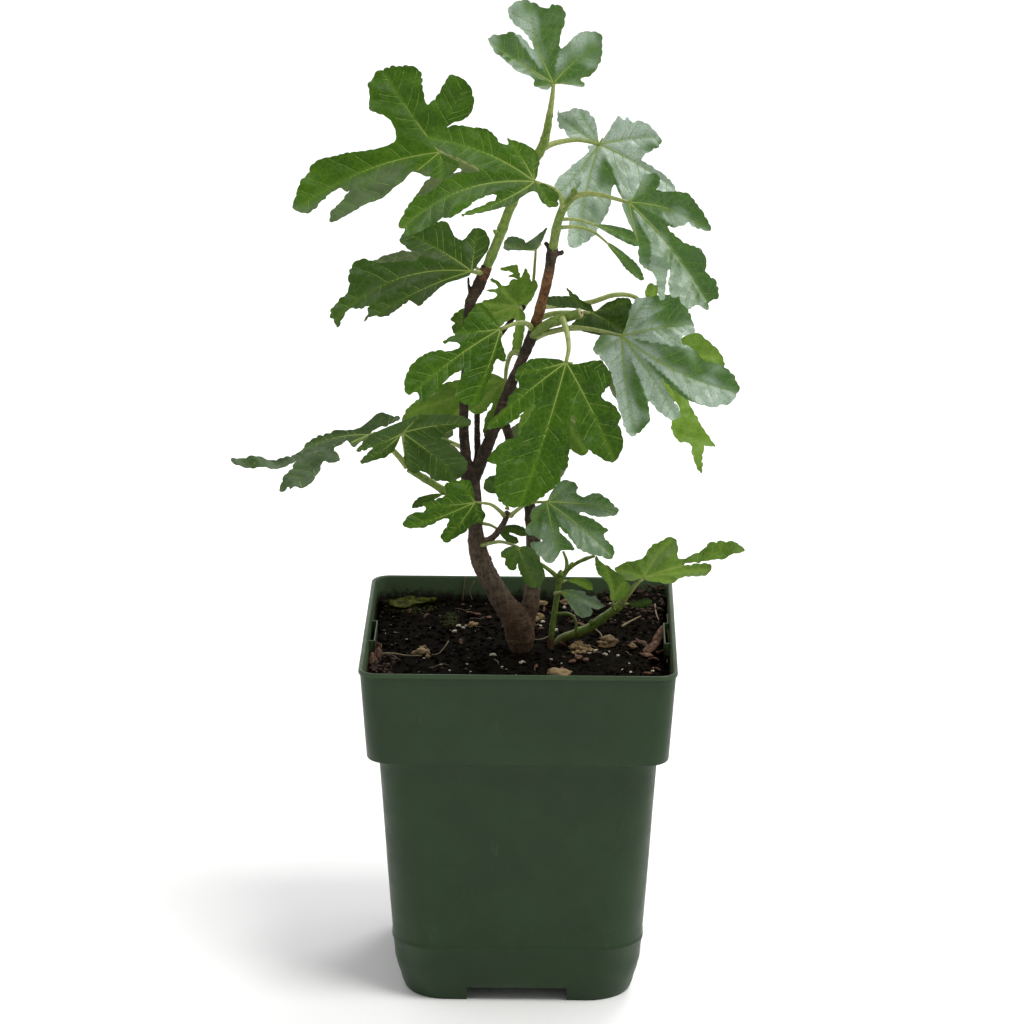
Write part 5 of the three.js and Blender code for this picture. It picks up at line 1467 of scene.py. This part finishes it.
# %% Grow the leaves
MAP_MARGIN = 1.6
ribs, small_veins, stalks = Heap(), Heap(), Heap()
number = 0
for group, names in GROUPS.items():
    leaves = []
    for name in names:
        leaves.append(Leaf(name, LEAVES[name], number))
        number += 1
    sizes = []
    for leaf in leaves:
        sizes += [tuple(leaf.line.max(0) - leaf.line.min(0) + 2 * MAP_MARGIN)] * 2
    side, spots = shelf_pack(sizes)
    blades = Heap()
    for k, leaf in enumerate(leaves):
        flat, faces = leaf.net()
        bend = leaf.bend(flat)
        front = leaf.place(flat, BLADE / 2, bend)
        back = leaf.place(flat, -BLADE / 2, bend)
        near = np.exp(-(gap_to(flat, leaf.lines(0)) / 0.9) ** 2)
        # where the waxy bloom with its painted sheen of reflected light lies on this leaf
        bloom_and_painted_sheen = leaf.sheen(flat)
        corner = flat - leaf.line.min(0) + MAP_MARGIN
        maps = [(corner + spots[island]) / side for island in (2 * k, 2 * k + 1)]
        n = len(flat)
        up, down = (0, 1) if leaf.upper_in_front else (1, 0)
        rim_faces, rim_corners = [], []
        for a, b in edge_pairs(faces):
            way = flat[b] - flat[a]
            out = np.array([way[1], -way[0]]) / (np.linalg.norm(way) + 1e-9) * BLADE / side
            rim_faces.append((b, a, a + n, b + n))
            rim_corners.append([maps[0][b], maps[0][a], maps[0][a] + out, maps[0][b] + out])
        blades.add(
            np.vstack([front, back]), [*faces, *(n + faces[:, ::-1]), *rim_faces],
            [*maps[0][faces], *maps[1][faces[:, ::-1]], *rim_corners],
            [up] * len(faces) + [down] * len(faces) + [up] * len(rim_faces),
            {"rib": np.tile(near, 2), "bloom_and_painted_sheen": np.tile(bloom_and_painted_sheen, 2),
             "tone": leaf.row.get("tone", leaf.dice.random())})
        for line, radii, order in leaf.veins:
            if len(line) < 3:
                continue
            lift = VEIN_LIFT[order]
            path = leaf.place(line, lift if leaf.upper_in_front else -lift)
            (small_veins if order else ribs).add(
                *tube(path, radii, VEIN_SIDES[order], lift=leaf.front))
        stalk = np.array(leaf.row["stalk"], float)
        fine = spread(stalk, max(8, int(np.linalg.norm(stalk[-1] - stalk[0]) / STALK_STEP)))
        thick = leaf.row.get("thick", 1.25 if len(leaf.lobes) > 3 else 0.8)
        u = np.linspace(0, 1, len(fine))
        radii = thick * (1 - 0.38 * smooth_step(u, 0, 1) + 0.3 * np.exp(-(u / 0.07) ** 2))
        path = sight(*fine.T)
        base_at = leaf.place(stalk[-1:, :2])[0]
        path = path + (base_at - path[-1]) * (u ** 3)[:, None]
        stalks.add(*tube(path, radii, STALK_SIDES))
    blades.build("leaves_" + group, [FINISHES[group], UNDER], names, "leaf", sharp=50)
ribs.build("leaf_ribs", [rib])
small_veins.build("leaf_side_veins", [side_rib])
stalks.build("leaf_stalks", [stalk_skin])

# %% [markdown]
# ## Green shoots and buds
#
# This year's wood is green, a little swollen at each node, with a pointed bud
# there. It could share the bark's wrap, but its skin is smooth and its colour
# ends sharply at the old wood, so its tubes stay apart and start inside the
# bark. The suckers turn brown where they leave the soil. One shoot was cut: its
# end is pale wood round a dark pith.

# %% Green shoots and buds
shoots = Heap()
for name, rows in GREEN.items():
    rows = np.array(rows, float)
    length = run_along(rows[:, :2])[-1]
    fine = spread(rows, max(6, int(length / SHOOT_STEP)))
    run = np.linspace(0, length, len(fine))
    knots = np.arange(DICE.uniform(3, 6), length, 9.5)
    swell = sum((0.13 * np.exp(-((run - k) / 1.1) ** 2) for k in knots), np.zeros(len(run)))
    points, faces = tube(sight(*fine.T[:3]), fine[:, 3] * (1 + swell), SHOOT_SIDES)
    woody = 1 - smooth_step(points[:, 2] / MM, 136, 143)
    shoots.add(points, faces, marks={"woody": woody * (1 if name == "short_sucker" else 0.5)})


def bud(across, height, depth, lean, size):
    """A pointed bud: a short limb that swells and closes to a tip."""
    t = np.linspace(0, 1, 8)
    start = sight(across, height, depth)
    way = np.array([math.sin(lean), -0.3, math.cos(lean)]) * size * MM
    path = start + way * t[:, None]
    return tube(path, size * 0.34 * np.sin(np.pi * (0.16 + 0.83 * t)) ** 0.8, 8)


for spot in ((-8.9, 310, 4.5, -0.9, 3.4), (-4.3, 322, 6.5, -0.7, 3), (3, 336, 7.5, 0.8, 2.6),
             (9.8, 352, 9, 0.5, 3), (14.6, 316, -16, 0.9, 2.6), (17, 322.5, -17, -0.5, 3.2),
             (20.3, 326.3, -17.5, 0.2, 3.6), (11, 273.8, -14, 0.4, 3), (-29, 202.8, -4, -0.3, 2.4),
             (-45.3, 213.4, -7, 0.2, 4.6), (16.2, 166.6, 8.5, 0.1, 4), (20.4, 170.6, 8.5, 0.3, 3.4),
             (29, 146.4, 6, 0.2, 3), (42, 157, 2.5, 0.3, 3)):
    shoots.add(*bud(*spot), marks={"woody": 0})
shoots.build("green_shoots", [shoot],
             ["shoot_left", "shoot_stub", "sucker_short", "sucker_long"], "green_stem")

# %% Cut end
cut = Heap()
end = sight(*np.array([[23.3, 278, -17], [23.9, 278.2, -17.2]]).T)
cut.add(*tube(end, (1.9, 1.75), 12))
cut.add(*tube(end + (end[1] - end[0]) * 0.25, (0.4, 0.55), 8), slot=1)
pith = two_tone("cut_pith", (0.8,), (0.6, 2), (70, 52, 36), (34, 24, 18), (0.4, 2), (0.05, 0.5))
cut_wood = two_tone("cut_wood", (0.7,), (1, 3), (196, 188, 140), (160, 148, 100),
                    (0.4, 2), (0.05, 0.5))
cut.build("cut_end", [cut_wood, pith])

# %% [markdown]
# ## Soil
#
# A peaty mix: near-black, crumbly, with bark chips, white and tan grit, a flat
# stone by the front wall, moss, an old leaf and some pale root hairs.
#
# A bumpy plane with a soil texture would look flat at the rim, where the soil
# is seen at a low angle. The ground is a fine net with noise at four sizes, and
# what lies on it is real: thousands of crumbs, and a piece for each kind of bit.


# %% Soil surface
def soil_height(x, y):
    """The soil's level in millimetres: swells, clods, a rise behind and at the trunk."""
    place = Vector((x, y, 0))
    rise = 1.1 * noise.noise(place / 26 + Vector((3, 8, 0))) + 0.9 * noise.noise(place / 9)
    rise += 0.7 * noise.noise(place / 3.6 + Vector((9, 1, 0))) + 0.35 * noise.noise(place / 1.5)
    rise += 1.6 * smooth_step(y, 30, 60) + 0.8 * smooth_step(x, 30, 58) * smooth_step(y, 0, 50)
    rise += 0.9 * math.exp(-((x / 11) ** 2 + (y / 10) ** 2))
    rise += 4.5 * smooth_step(x, 18, 46) * smooth_step(y, 34, 58)
    return SOIL_LEVEL + rise - 0.3


def grid_faces(rows, columns):
    """The squares between points that were laid row by row."""
    return [(a, a + 1, a + columns + 1, a + columns)
            for i in range(rows - 1) for a in range(i * columns, (i + 1) * columns - 1)]


GROUND_CELLS, GROUND_HALF, MAP_HALF = 132, 60.9, 62
points = []
for v in range(GROUND_CELLS + 1):
    for u in range(GROUND_CELLS + 1):
        across, back = 2 * u / GROUND_CELLS - 1, 2 * v / GROUND_CELLS - 1
        # squares are pulled in at the corners to follow the pot's rounded inside
        pull = 1 - 0.0415 * (across * across * back * back) ** 1.6
        x, y = across * GROUND_HALF * pull, back * GROUND_HALF * pull
        wall = max(abs(x), abs(y))
        points.append((x, y, soil_height(x, y) - 1.2 * smooth_step(wall, 57, 61)))
points = np.array(points)
faces = grid_faces(GROUND_CELLS + 1, GROUND_CELLS + 1)
maps = (points[:, :2] + MAP_HALF) / (2 * MAP_HALF)
ground = Heap()
ground.add(points * MM, faces, maps[np.array(faces)])

peat = Finish("peat", 0.95, 0.04)
clod = peat.noise(2.2, 6, 0.7)
peat_tone = peat.mix(peat.steps(clod, 0.35, 0.68), (5, 4, 2), (23, 19, 12))
peat.colour(peat.mix(peat.steps(peat.noise(0.9, 3), 0.64, 0.72), peat_tone, (40, 32, 24)))
peat.bump(peat.noise(0.8, 6, 0.75), 0.5, 0.9)
ground.build("peat_surface", [peat], ["soil"], "soil")


# %% Lumps
def make_ball(rounds):
    """Points and faces of a ball; more rounds make it finer."""
    shape = bmesh.new()
    bmesh.ops.create_icosphere(shape, subdivisions=rounds, radius=1)
    points = np.array([v.co[:] for v in shape.verts])
    faces = [[v.index for v in f.verts] for f in shape.faces]
    shape.free()
    return points, faces


BALLS = {k: make_ball(k) for k in (1, 2, 3)}
dice = random.Random(7)


def on_soil(x, y, lift=0.0):
    """A point in metres, a little over the soil."""
    return np.array([x, y, soil_height(x, y) + lift]) * MM


def lump(x, y, lift, size, rounds, rough):
    """A stone or crumb on the soil: a ball with pushed-in and pulled-out points."""
    ball = BALLS[rounds]
    angle = dice.uniform(0, 6.28)
    axis = Vector((dice.uniform(-1, 1), dice.uniform(-1, 1), dice.uniform(-1, 1.01)))
    turned = np.array(Matrix.Rotation(angle, 3, axis))
    shift = Vector([dice.uniform(-50, 50) for _ in "xyz"])
    push = np.array([
        1 + rough * (2 * noise.noise(p * 1.3 + shift) + noise.noise(p * 3.4 - shift))
        for p in map(Vector, ball[0])])
    points = (ball[0] * push[:, None]) @ turned.T * (np.asarray(size) * MM / 2)
    return points + on_soil(x, y, lift), ball[1]


print("faces of a lump, by rounds:", {k: len(ball[1]) for k, ball in BALLS.items()})

# %% Crumbs
SOIL_HALF = 59.5


def away_from_trunk(x, y):
    return x * x + y * y > 40


def scatter(total, sizes, rounds=1, flat=(0.6, 1.0), rough=0.3):
    """Lumps all over the soil, small ones more often, each a little sunk."""
    heap = Heap()
    made = 0
    while made < total:
        x, y = dice.uniform(-SOIL_HALF, SOIL_HALF), dice.uniform(-SOIL_HALF, SOIL_HALF)
        if not away_from_trunk(x, y):
            continue
        size = dice.uniform(0, 1) ** 2.2 * (sizes[1] - sizes[0]) + sizes[0]
        shape = np.array([dice.uniform(*span) for span in ((0.7, 1.2), (0.6, 1.1), flat)]) * size
        heap.add(*lump(x, y, 0.1 * size, shape, rounds, rough))
        made += 1
    return heap


def place_lumps(heap, rows, sunk, shape, rounds, rough):
    """Set stones: rows of place and size, all of one proportion."""
    for x, y, size in rows:
        heap.add(*lump(x, y, sunk * size, np.array(shape) * size, rounds, rough))


crumb = two_tone("peat_crumbs", (0.95, 0.04), (5, 5, 0.7), (6, 5, 3), (26, 21, 14),
                 (0.6, 4, 0.7), (0.2, 0.8), (0.35, 0.65))
scatter(2600, (0.5, 2.6), rough=0.45).build("peat_crumbs", [crumb])

# %% Bark fines
rusty = two_tone("bark_fines", (0.85, 0.3), (3, 4, 0.7), (26, 18, 12), (66, 46, 34),
                 (0.5, 4, 0.7), (0.15, 0.7))
fines = scatter(230, (0.6, 2.6), flat=(0.25, 0.5), rough=0.45)
for _ in range(420):
    # a mound of fines in the back corner, and a patch by the left wall
    size = dice.uniform(0.7, 2.6)
    if dice.random() < 0.72:
        x, y = 60 - 40 * dice.uniform(0, 1) ** 1.4, 60 - 24 * dice.uniform(0, 1) ** 1.4
    else:
        x, y = -60 + 9 * dice.uniform(0, 1) ** 1.5, dice.uniform(-38, -8)
    rise = dice.uniform(0, 2.6) if max(abs(x), abs(y)) > 57 else 0.2
    fines.add(*lump(x, y, rise, np.array([1, 0.8, 0.6]) * size, 1, 0.45))
fines.build("bark_fines", [rusty])

# %% White and tan grit
perlite = two_tone("perlite", (0.8, 0.3), (1.2, 3), (150, 142, 120), (204, 198, 180),
                   (0.5, 3), (0.2, 0.7))
white = scatter(46, (0.4, 1.2), rounds=2, flat=(0.7, 1))
place_lumps(white, ((-10.8, -6.5, 3.6), (1, -15.5, 3.2), (-1, -30, 2), (-7, -21, 1.4),
                    (-5, -23, 1.2), (14.5, 28, 2.6), (7, 40, 3), (9, 37, 2.2), (8, 32, 1.8),
                    (42, -24, 2), (45, -26, 1.8), (54, -23, 2), (40, -5, 1.8), (35, -6, 2.4),
                    (31, -1, 2.8), (28.5, -4, 1.8), (-32, -18, 1.6), (-26, 31, 2.6), (-24, 29, 2),
                    (-22.5, 31, 2.4), (-27.6, 21.5, 2.6), (-29, 23, 1.8), (18, 52, 2),
                    (-47, 12, 1.2), (50, 50, 1.4)), 0.1, (0.8, 0.65, 0.5), 2, 0.4)
white.build("perlite", [perlite])

tan = two_tone("tan_grit", (0.8, 0.3), (2.2, 4), (96, 74, 50), (160, 138, 100),
               (0.7, 4), (0.3, 0.7))
grit = Heap()
place_lumps(grit, ((-41, -6, 4.2), (-38.8, -5, 3.4), (-40, 3, 2.2), (-37.5, -8.6, 1.8),
                   (-20, 31, 3.6), (22, 3, 3.4), (24, 6, 3.8), (23, -2, 3), (25.4, 0.6, 3.6),
                   (27.4, 2, 3), (28.4, -1.2, 2.6), (21, 4.6, 2.4), (26, -4, 2), (36, 9, 6),
                   (34, 6.4, 3.6), (7.6, 41, 3.4), (5.8, 38.6, 2.6), (46, 3, 3), (8, 55, 3.4),
                   (18, 57, 3), (-58, -8, 2.6)), 0.25, (1.15, 0.9, 0.7), 3, 0.5)
grit.add(*lump(16, -30.6, 1.2, (9.5, 4.6, 3.8), 3, 0.3))
grit.build("tan_grit", [tan])


# %% Bark chips
def chip(centre, length, width, thick, heading, tilt):
    """A flake of bark: a thin uneven slab with a ragged outline."""
    around = 14
    angle = 2 * math.pi * np.arange(around) / around
    out = np.array([1 + dice.uniform(-0.22, 0.22) for _ in angle])
    x, y = np.cos(angle) * out * length / 2, np.sin(angle) * out * width / 2
    sheets = []
    for level, inset in ((-0.5, 0.85), (0, 1), (0.5, 0.86)):
        bow = 0.1 * x ** 2 / length + 0.3 * np.sin(x * 1.1 + level)
        sheets.append(np.stack([x * inset, y * inset, level * thick + bow], -1))
    points, faces = loft(sheets)
    turned = np.array(Matrix.Rotation(heading, 3, "Z") @ Matrix.Rotation(tilt, 3, "Y"))
    return points @ turned.T * MM + centre, faces


chips = Heap()
for x, y, length, width, heading, tilt in (
        (56.5, 12, 13, 4.2, 1.2, -0.5), (54, 1, 12, 5, 0.9, -0.35), (58, -2, 9, 4, 1.9, 0.4),
        (54.5, -13, 7.5, 4.6, 1.4, 0.5), (50, 6.5, 7, 3.4, -0.5, 0.3), (45.5, 1, 5.5, 4, 0.8, 0.5),
        (-20.5, 42, 5, 7.5, 1.1, 0.5), (59, 20, 9, 3, 1.5, -0.6), (52, -6, 6, 3.6, 0.2, 0.2),
        (24, -13, 4.4, 3, 0.6, 0.2), (27, -15, 3.4, 2.6, 1.9, 0.3), (21.5, -16, 3, 2.4, 0.2, 0.1),
        (-58, -14, 8, 4, 1.4, -0.7), (-59, -22, 9, 4, 1.7, -0.8), (-58.5, -3, 7, 4, 1.2, -0.9)):
    chips.add(*chip(on_soil(x, y, 1.5), length, width, 0.9, heading, tilt))
for _ in range(18):
    x, y = dice.uniform(-57, 57), dice.uniform(-57, 57)
    if away_from_trunk(x, y):
        chips.add(*chip(on_soil(x, y, 0.5), dice.uniform(2, 5), dice.uniform(1, 2.4), 0.6,
                        dice.uniform(0, 3.1), dice.uniform(-0.5, 0.5)))
red_bark = two_tone("bark_chips", (0.82, 0.3), (1.6, 4), (42, 28, 19), (118, 82, 58),
                    (0.7, 4, 0.7), (0.25, 0.8), (0.3, 0.7))
chips.build("bark_chips", [red_bark])

# %% [markdown]
# ## Moss, an old leaf and root hairs
#
# Moss is a low cushion: short tufts, tallest in the middle of each patch. The
# old leaf is a curled, mottled strip in two layers with a closed border, since a
# single sheet has no thickness to show. Root hairs are thin tapering limbs laid
# a little above the ground, and some hang down the inside of the wall.

# %% Moss
moss = two_tone("moss", (0.9, 0.2), (1.4, 3), (26, 32, 10), (66, 70, 26), (0.4, 3), (0.3, 0.8))
tufts = Heap()
for cx, cy, rx, ry, total in ((-30, 38, 4, 9, 170), (-47, 51, 11, 6, 260), (-56, 57, 4, 2.5, 50)):
    for _ in range(total):
        angle, far = dice.uniform(0, 6.28), dice.uniform(0, 1) ** 0.6
        x, y = cx + rx * far * math.cos(angle), cy + ry * far * math.sin(angle)
        tall = dice.uniform(0.7, 1.7) * (1.2 - 0.6 * far)
        tufts.add(*lump(x, y, 0.3, (0.8, 0.8, tall), 1, 0.4))
tufts.build("moss", [moss])

# %% Old leaf
olive = Finish("old_leaf", 0.8, 0.1)
fade = olive.mix(olive.steps(olive.noise(3, 4, 0.65), 0.36, 0.62), (22, 28, 9), (76, 80, 26))
olive.colour(olive.mix(olive.steps(olive.noise(1.6, 3), 0.6, 0.7, 0, 0.7), fade, (20, 18, 9)))
olive.bump(olive.noise(0.8, 3), 0.15, 0.6)
old_leaf = Heap()
rows, columns, gap = 26, 9, 0.45
top = []
for i in range(rows):
    t = i / (rows - 1)
    wide = 4.6 * math.sin(math.pi * min(1, 0.08 + 0.92 * t) ** 0.8) ** 0.7 + 0.2
    for j in range(columns):
        s = 2 * j / (columns - 1) - 1
        x, y = -56 + 20 * t, 51 + 6.5 * t + wide * s
        curl = 1.0 + 0.9 * abs(s) + 0.7 * math.sin(7 * t + 4 * s)
        top.append((x, y, soil_height(x, y) + curl))
top = np.array(top)
under = grid_faces(rows, columns)
net = turned_over(under)
n = len(top)
faces = net + [tuple(n + v for v in face) for face in under]
faces += [(b, a, a + n, b + n) for a, b in edge_pairs(net)]
old_leaf.add(np.vstack([top + (0, 0, gap), top]) * MM, faces)
old_leaf.build("old_leaf", [olive])

# %% Root hairs
root = two_tone("root_hairs", (0.7, 0.3), (3, 3), (84, 66, 46), (146, 130, 102),
                (0.4, 2), (0.05, 0.5))
roots = Heap()


def root_hair(rows, thick):
    """A limb that thins to half, through points in millimetres."""
    fine = spread(np.array(rows, float), 5 * len(rows))
    roots.add(*tube(fine * MM, np.linspace(thick, thick * 0.5, len(fine)), 6))


def laid(rows, lift=0.7):
    return [(x, y, soil_height(x, y) + lift) for x, y in rows]


for thick, lift, rows in (
        (0.25, 1.0, [(-29.5, 8), (-30.5, 1), (-33, -5), (-36, -9)]),
        (0.5, 1.2, [(-58, -10), (-52, -9.6), (-46, -10.4), (-40, -9)]),
        (0.6, 1.4, [(42, 29), (45, 33), (50, 38)]), (0.4, 2, [(56, 45), (56.5, 39), (57.5, 32)]),
        (0.35, 1.6, [(31, 25), (33, 20), (33.6, 13), (33, 7)])):
    root_hair(laid(rows, lift), thick)
for thick, rows in (
        (0.35, [(-24, 60.6, 147.2), (-24.6, 60.4, 142), (-25.2, 60, 136)]),
        (0.3, [(-20, 60.2, 145), (-22, 59.6, 141), (-21, 58.8, 137)]),
        (0.5, [(60.6, 14, 141), (61, 6, 139.6), (61, -4, 137.6), (60, -16, 136)]),
        (0.5, [(61, 30, 141), (61.2, 22, 139), (61, 12, 137)])):
    root_hair(rows, thick)
root_hair(laid([(2, 9), (9, 14), (14, 20)], 1.0), 0.35)
for _ in range(14):
    x, y, heading = dice.uniform(-56, 56), dice.uniform(-56, 56), dice.uniform(0, 6.28)
    if not away_from_trunk(x, y):
        continue
    rows = []
    for _ in range(4):
        rows.append((x, y))
        heading += dice.uniform(-0.7, 0.7)
        x, y = x + 2.2 * math.cos(heading), y + 2.2 * math.sin(heading)
    if max(abs(x), abs(y)) < 59:
        root_hair(laid(rows, 0.8), dice.uniform(0.12, 0.24))
roots.build("root_hairs", [root])

# %% [markdown]
# ## Light and ground
#
# The plant stands on a plain pale sheet that runs out of sight. One soft key
# light from the upper right throws a short soft shadow to the left, a small lamp
# behind lights the edges of the leaves, and a white studio fills the rest.
#
# A white room all round would mirror in the waxy leaves and wash them out. So
# the studio is white overhead and at the sides, and dims behind the eye.

# %% Ground
floor_mesh = bpy.data.meshes.new("floor")
floor_mesh.from_pydata([(-9, -9, 0), (9, -9, 0), (9, 9, 0), (-9, 9, 0)], [], [(0, 1, 2, 3)])
floor_finish = Finish("pale_floor", 0.9, 0.2)
floor_finish.colour(floor_finish.mix(floor_finish.noise(40, 2), (246, 246, 246), (247, 247, 247)))
floor_mesh.materials.append(floor_finish.material)
floor = bpy.data.objects.new("floor", floor_mesh)
scene.collection.objects.link(floor)
print("the sheet is", floor.dimensions.x, "m wide")


# %% Lamps
def lamp(name, kind, energy, aim, at=(0, 0, 0)):
    """A lamp that shines along aim; a sun's own place makes no difference."""
    data = bpy.data.lights.new(name, kind)
    data.energy = energy
    piece = bpy.data.objects.new(name, data)
    piece.location = at
    piece.rotation_euler = Vector(aim).to_track_quat("-Z", "Y").to_euler()
    scene.collection.objects.link(piece)
    return data


key = lamp("key", "SUN", 1.9, (-0.72, 0.48, -1.65))
key.angle = math.radians(24)
key.color = (1, 0.99, 0.965)
back_light = lamp("back_light", "AREA", 9, (-0.5, -1.1, -1.02), at=(0.5, 1.1, 1.3))
back_light.shape = "DISK"
back_light.size = 0.6
print("lamps:", len(bpy.data.lights))

# %% Studio
world = bpy.data.worlds.new("studio")
scene.world = world
world.use_nodes = True
sky = world.node_tree
sky.nodes["Background"].inputs[0].default_value = (1, 1, 1, 1)
look = sky.nodes.new("ShaderNodeTexCoord").outputs["Generated"]
toward = sky.nodes.new("ShaderNodeVectorMath")
toward.operation = "DOT_PRODUCT"
toward.inputs[1].default_value = (0, -0.86, 0.51)
sky.links.new(look, toward.inputs[0])
dim = sky.nodes.new("ShaderNodeMapRange")
dim.interpolation_type = "SMOOTHSTEP"
for socket, value in zip(dim.inputs[1:5], (0.1, 0.9, 1.0, 0.3)):
    socket.default_value = value
sky.links.new(toward.outputs["Value"], dim.inputs[0])
sky.links.new(dim.outputs[0], sky.nodes["Background"].inputs[1])
scene.view_settings.view_transform = "Standard"
scene.view_settings.look = "None"
scene.view_settings.exposure = 0
print("studio light behind the eye is dimmed to", dim.inputs[4].default_value)
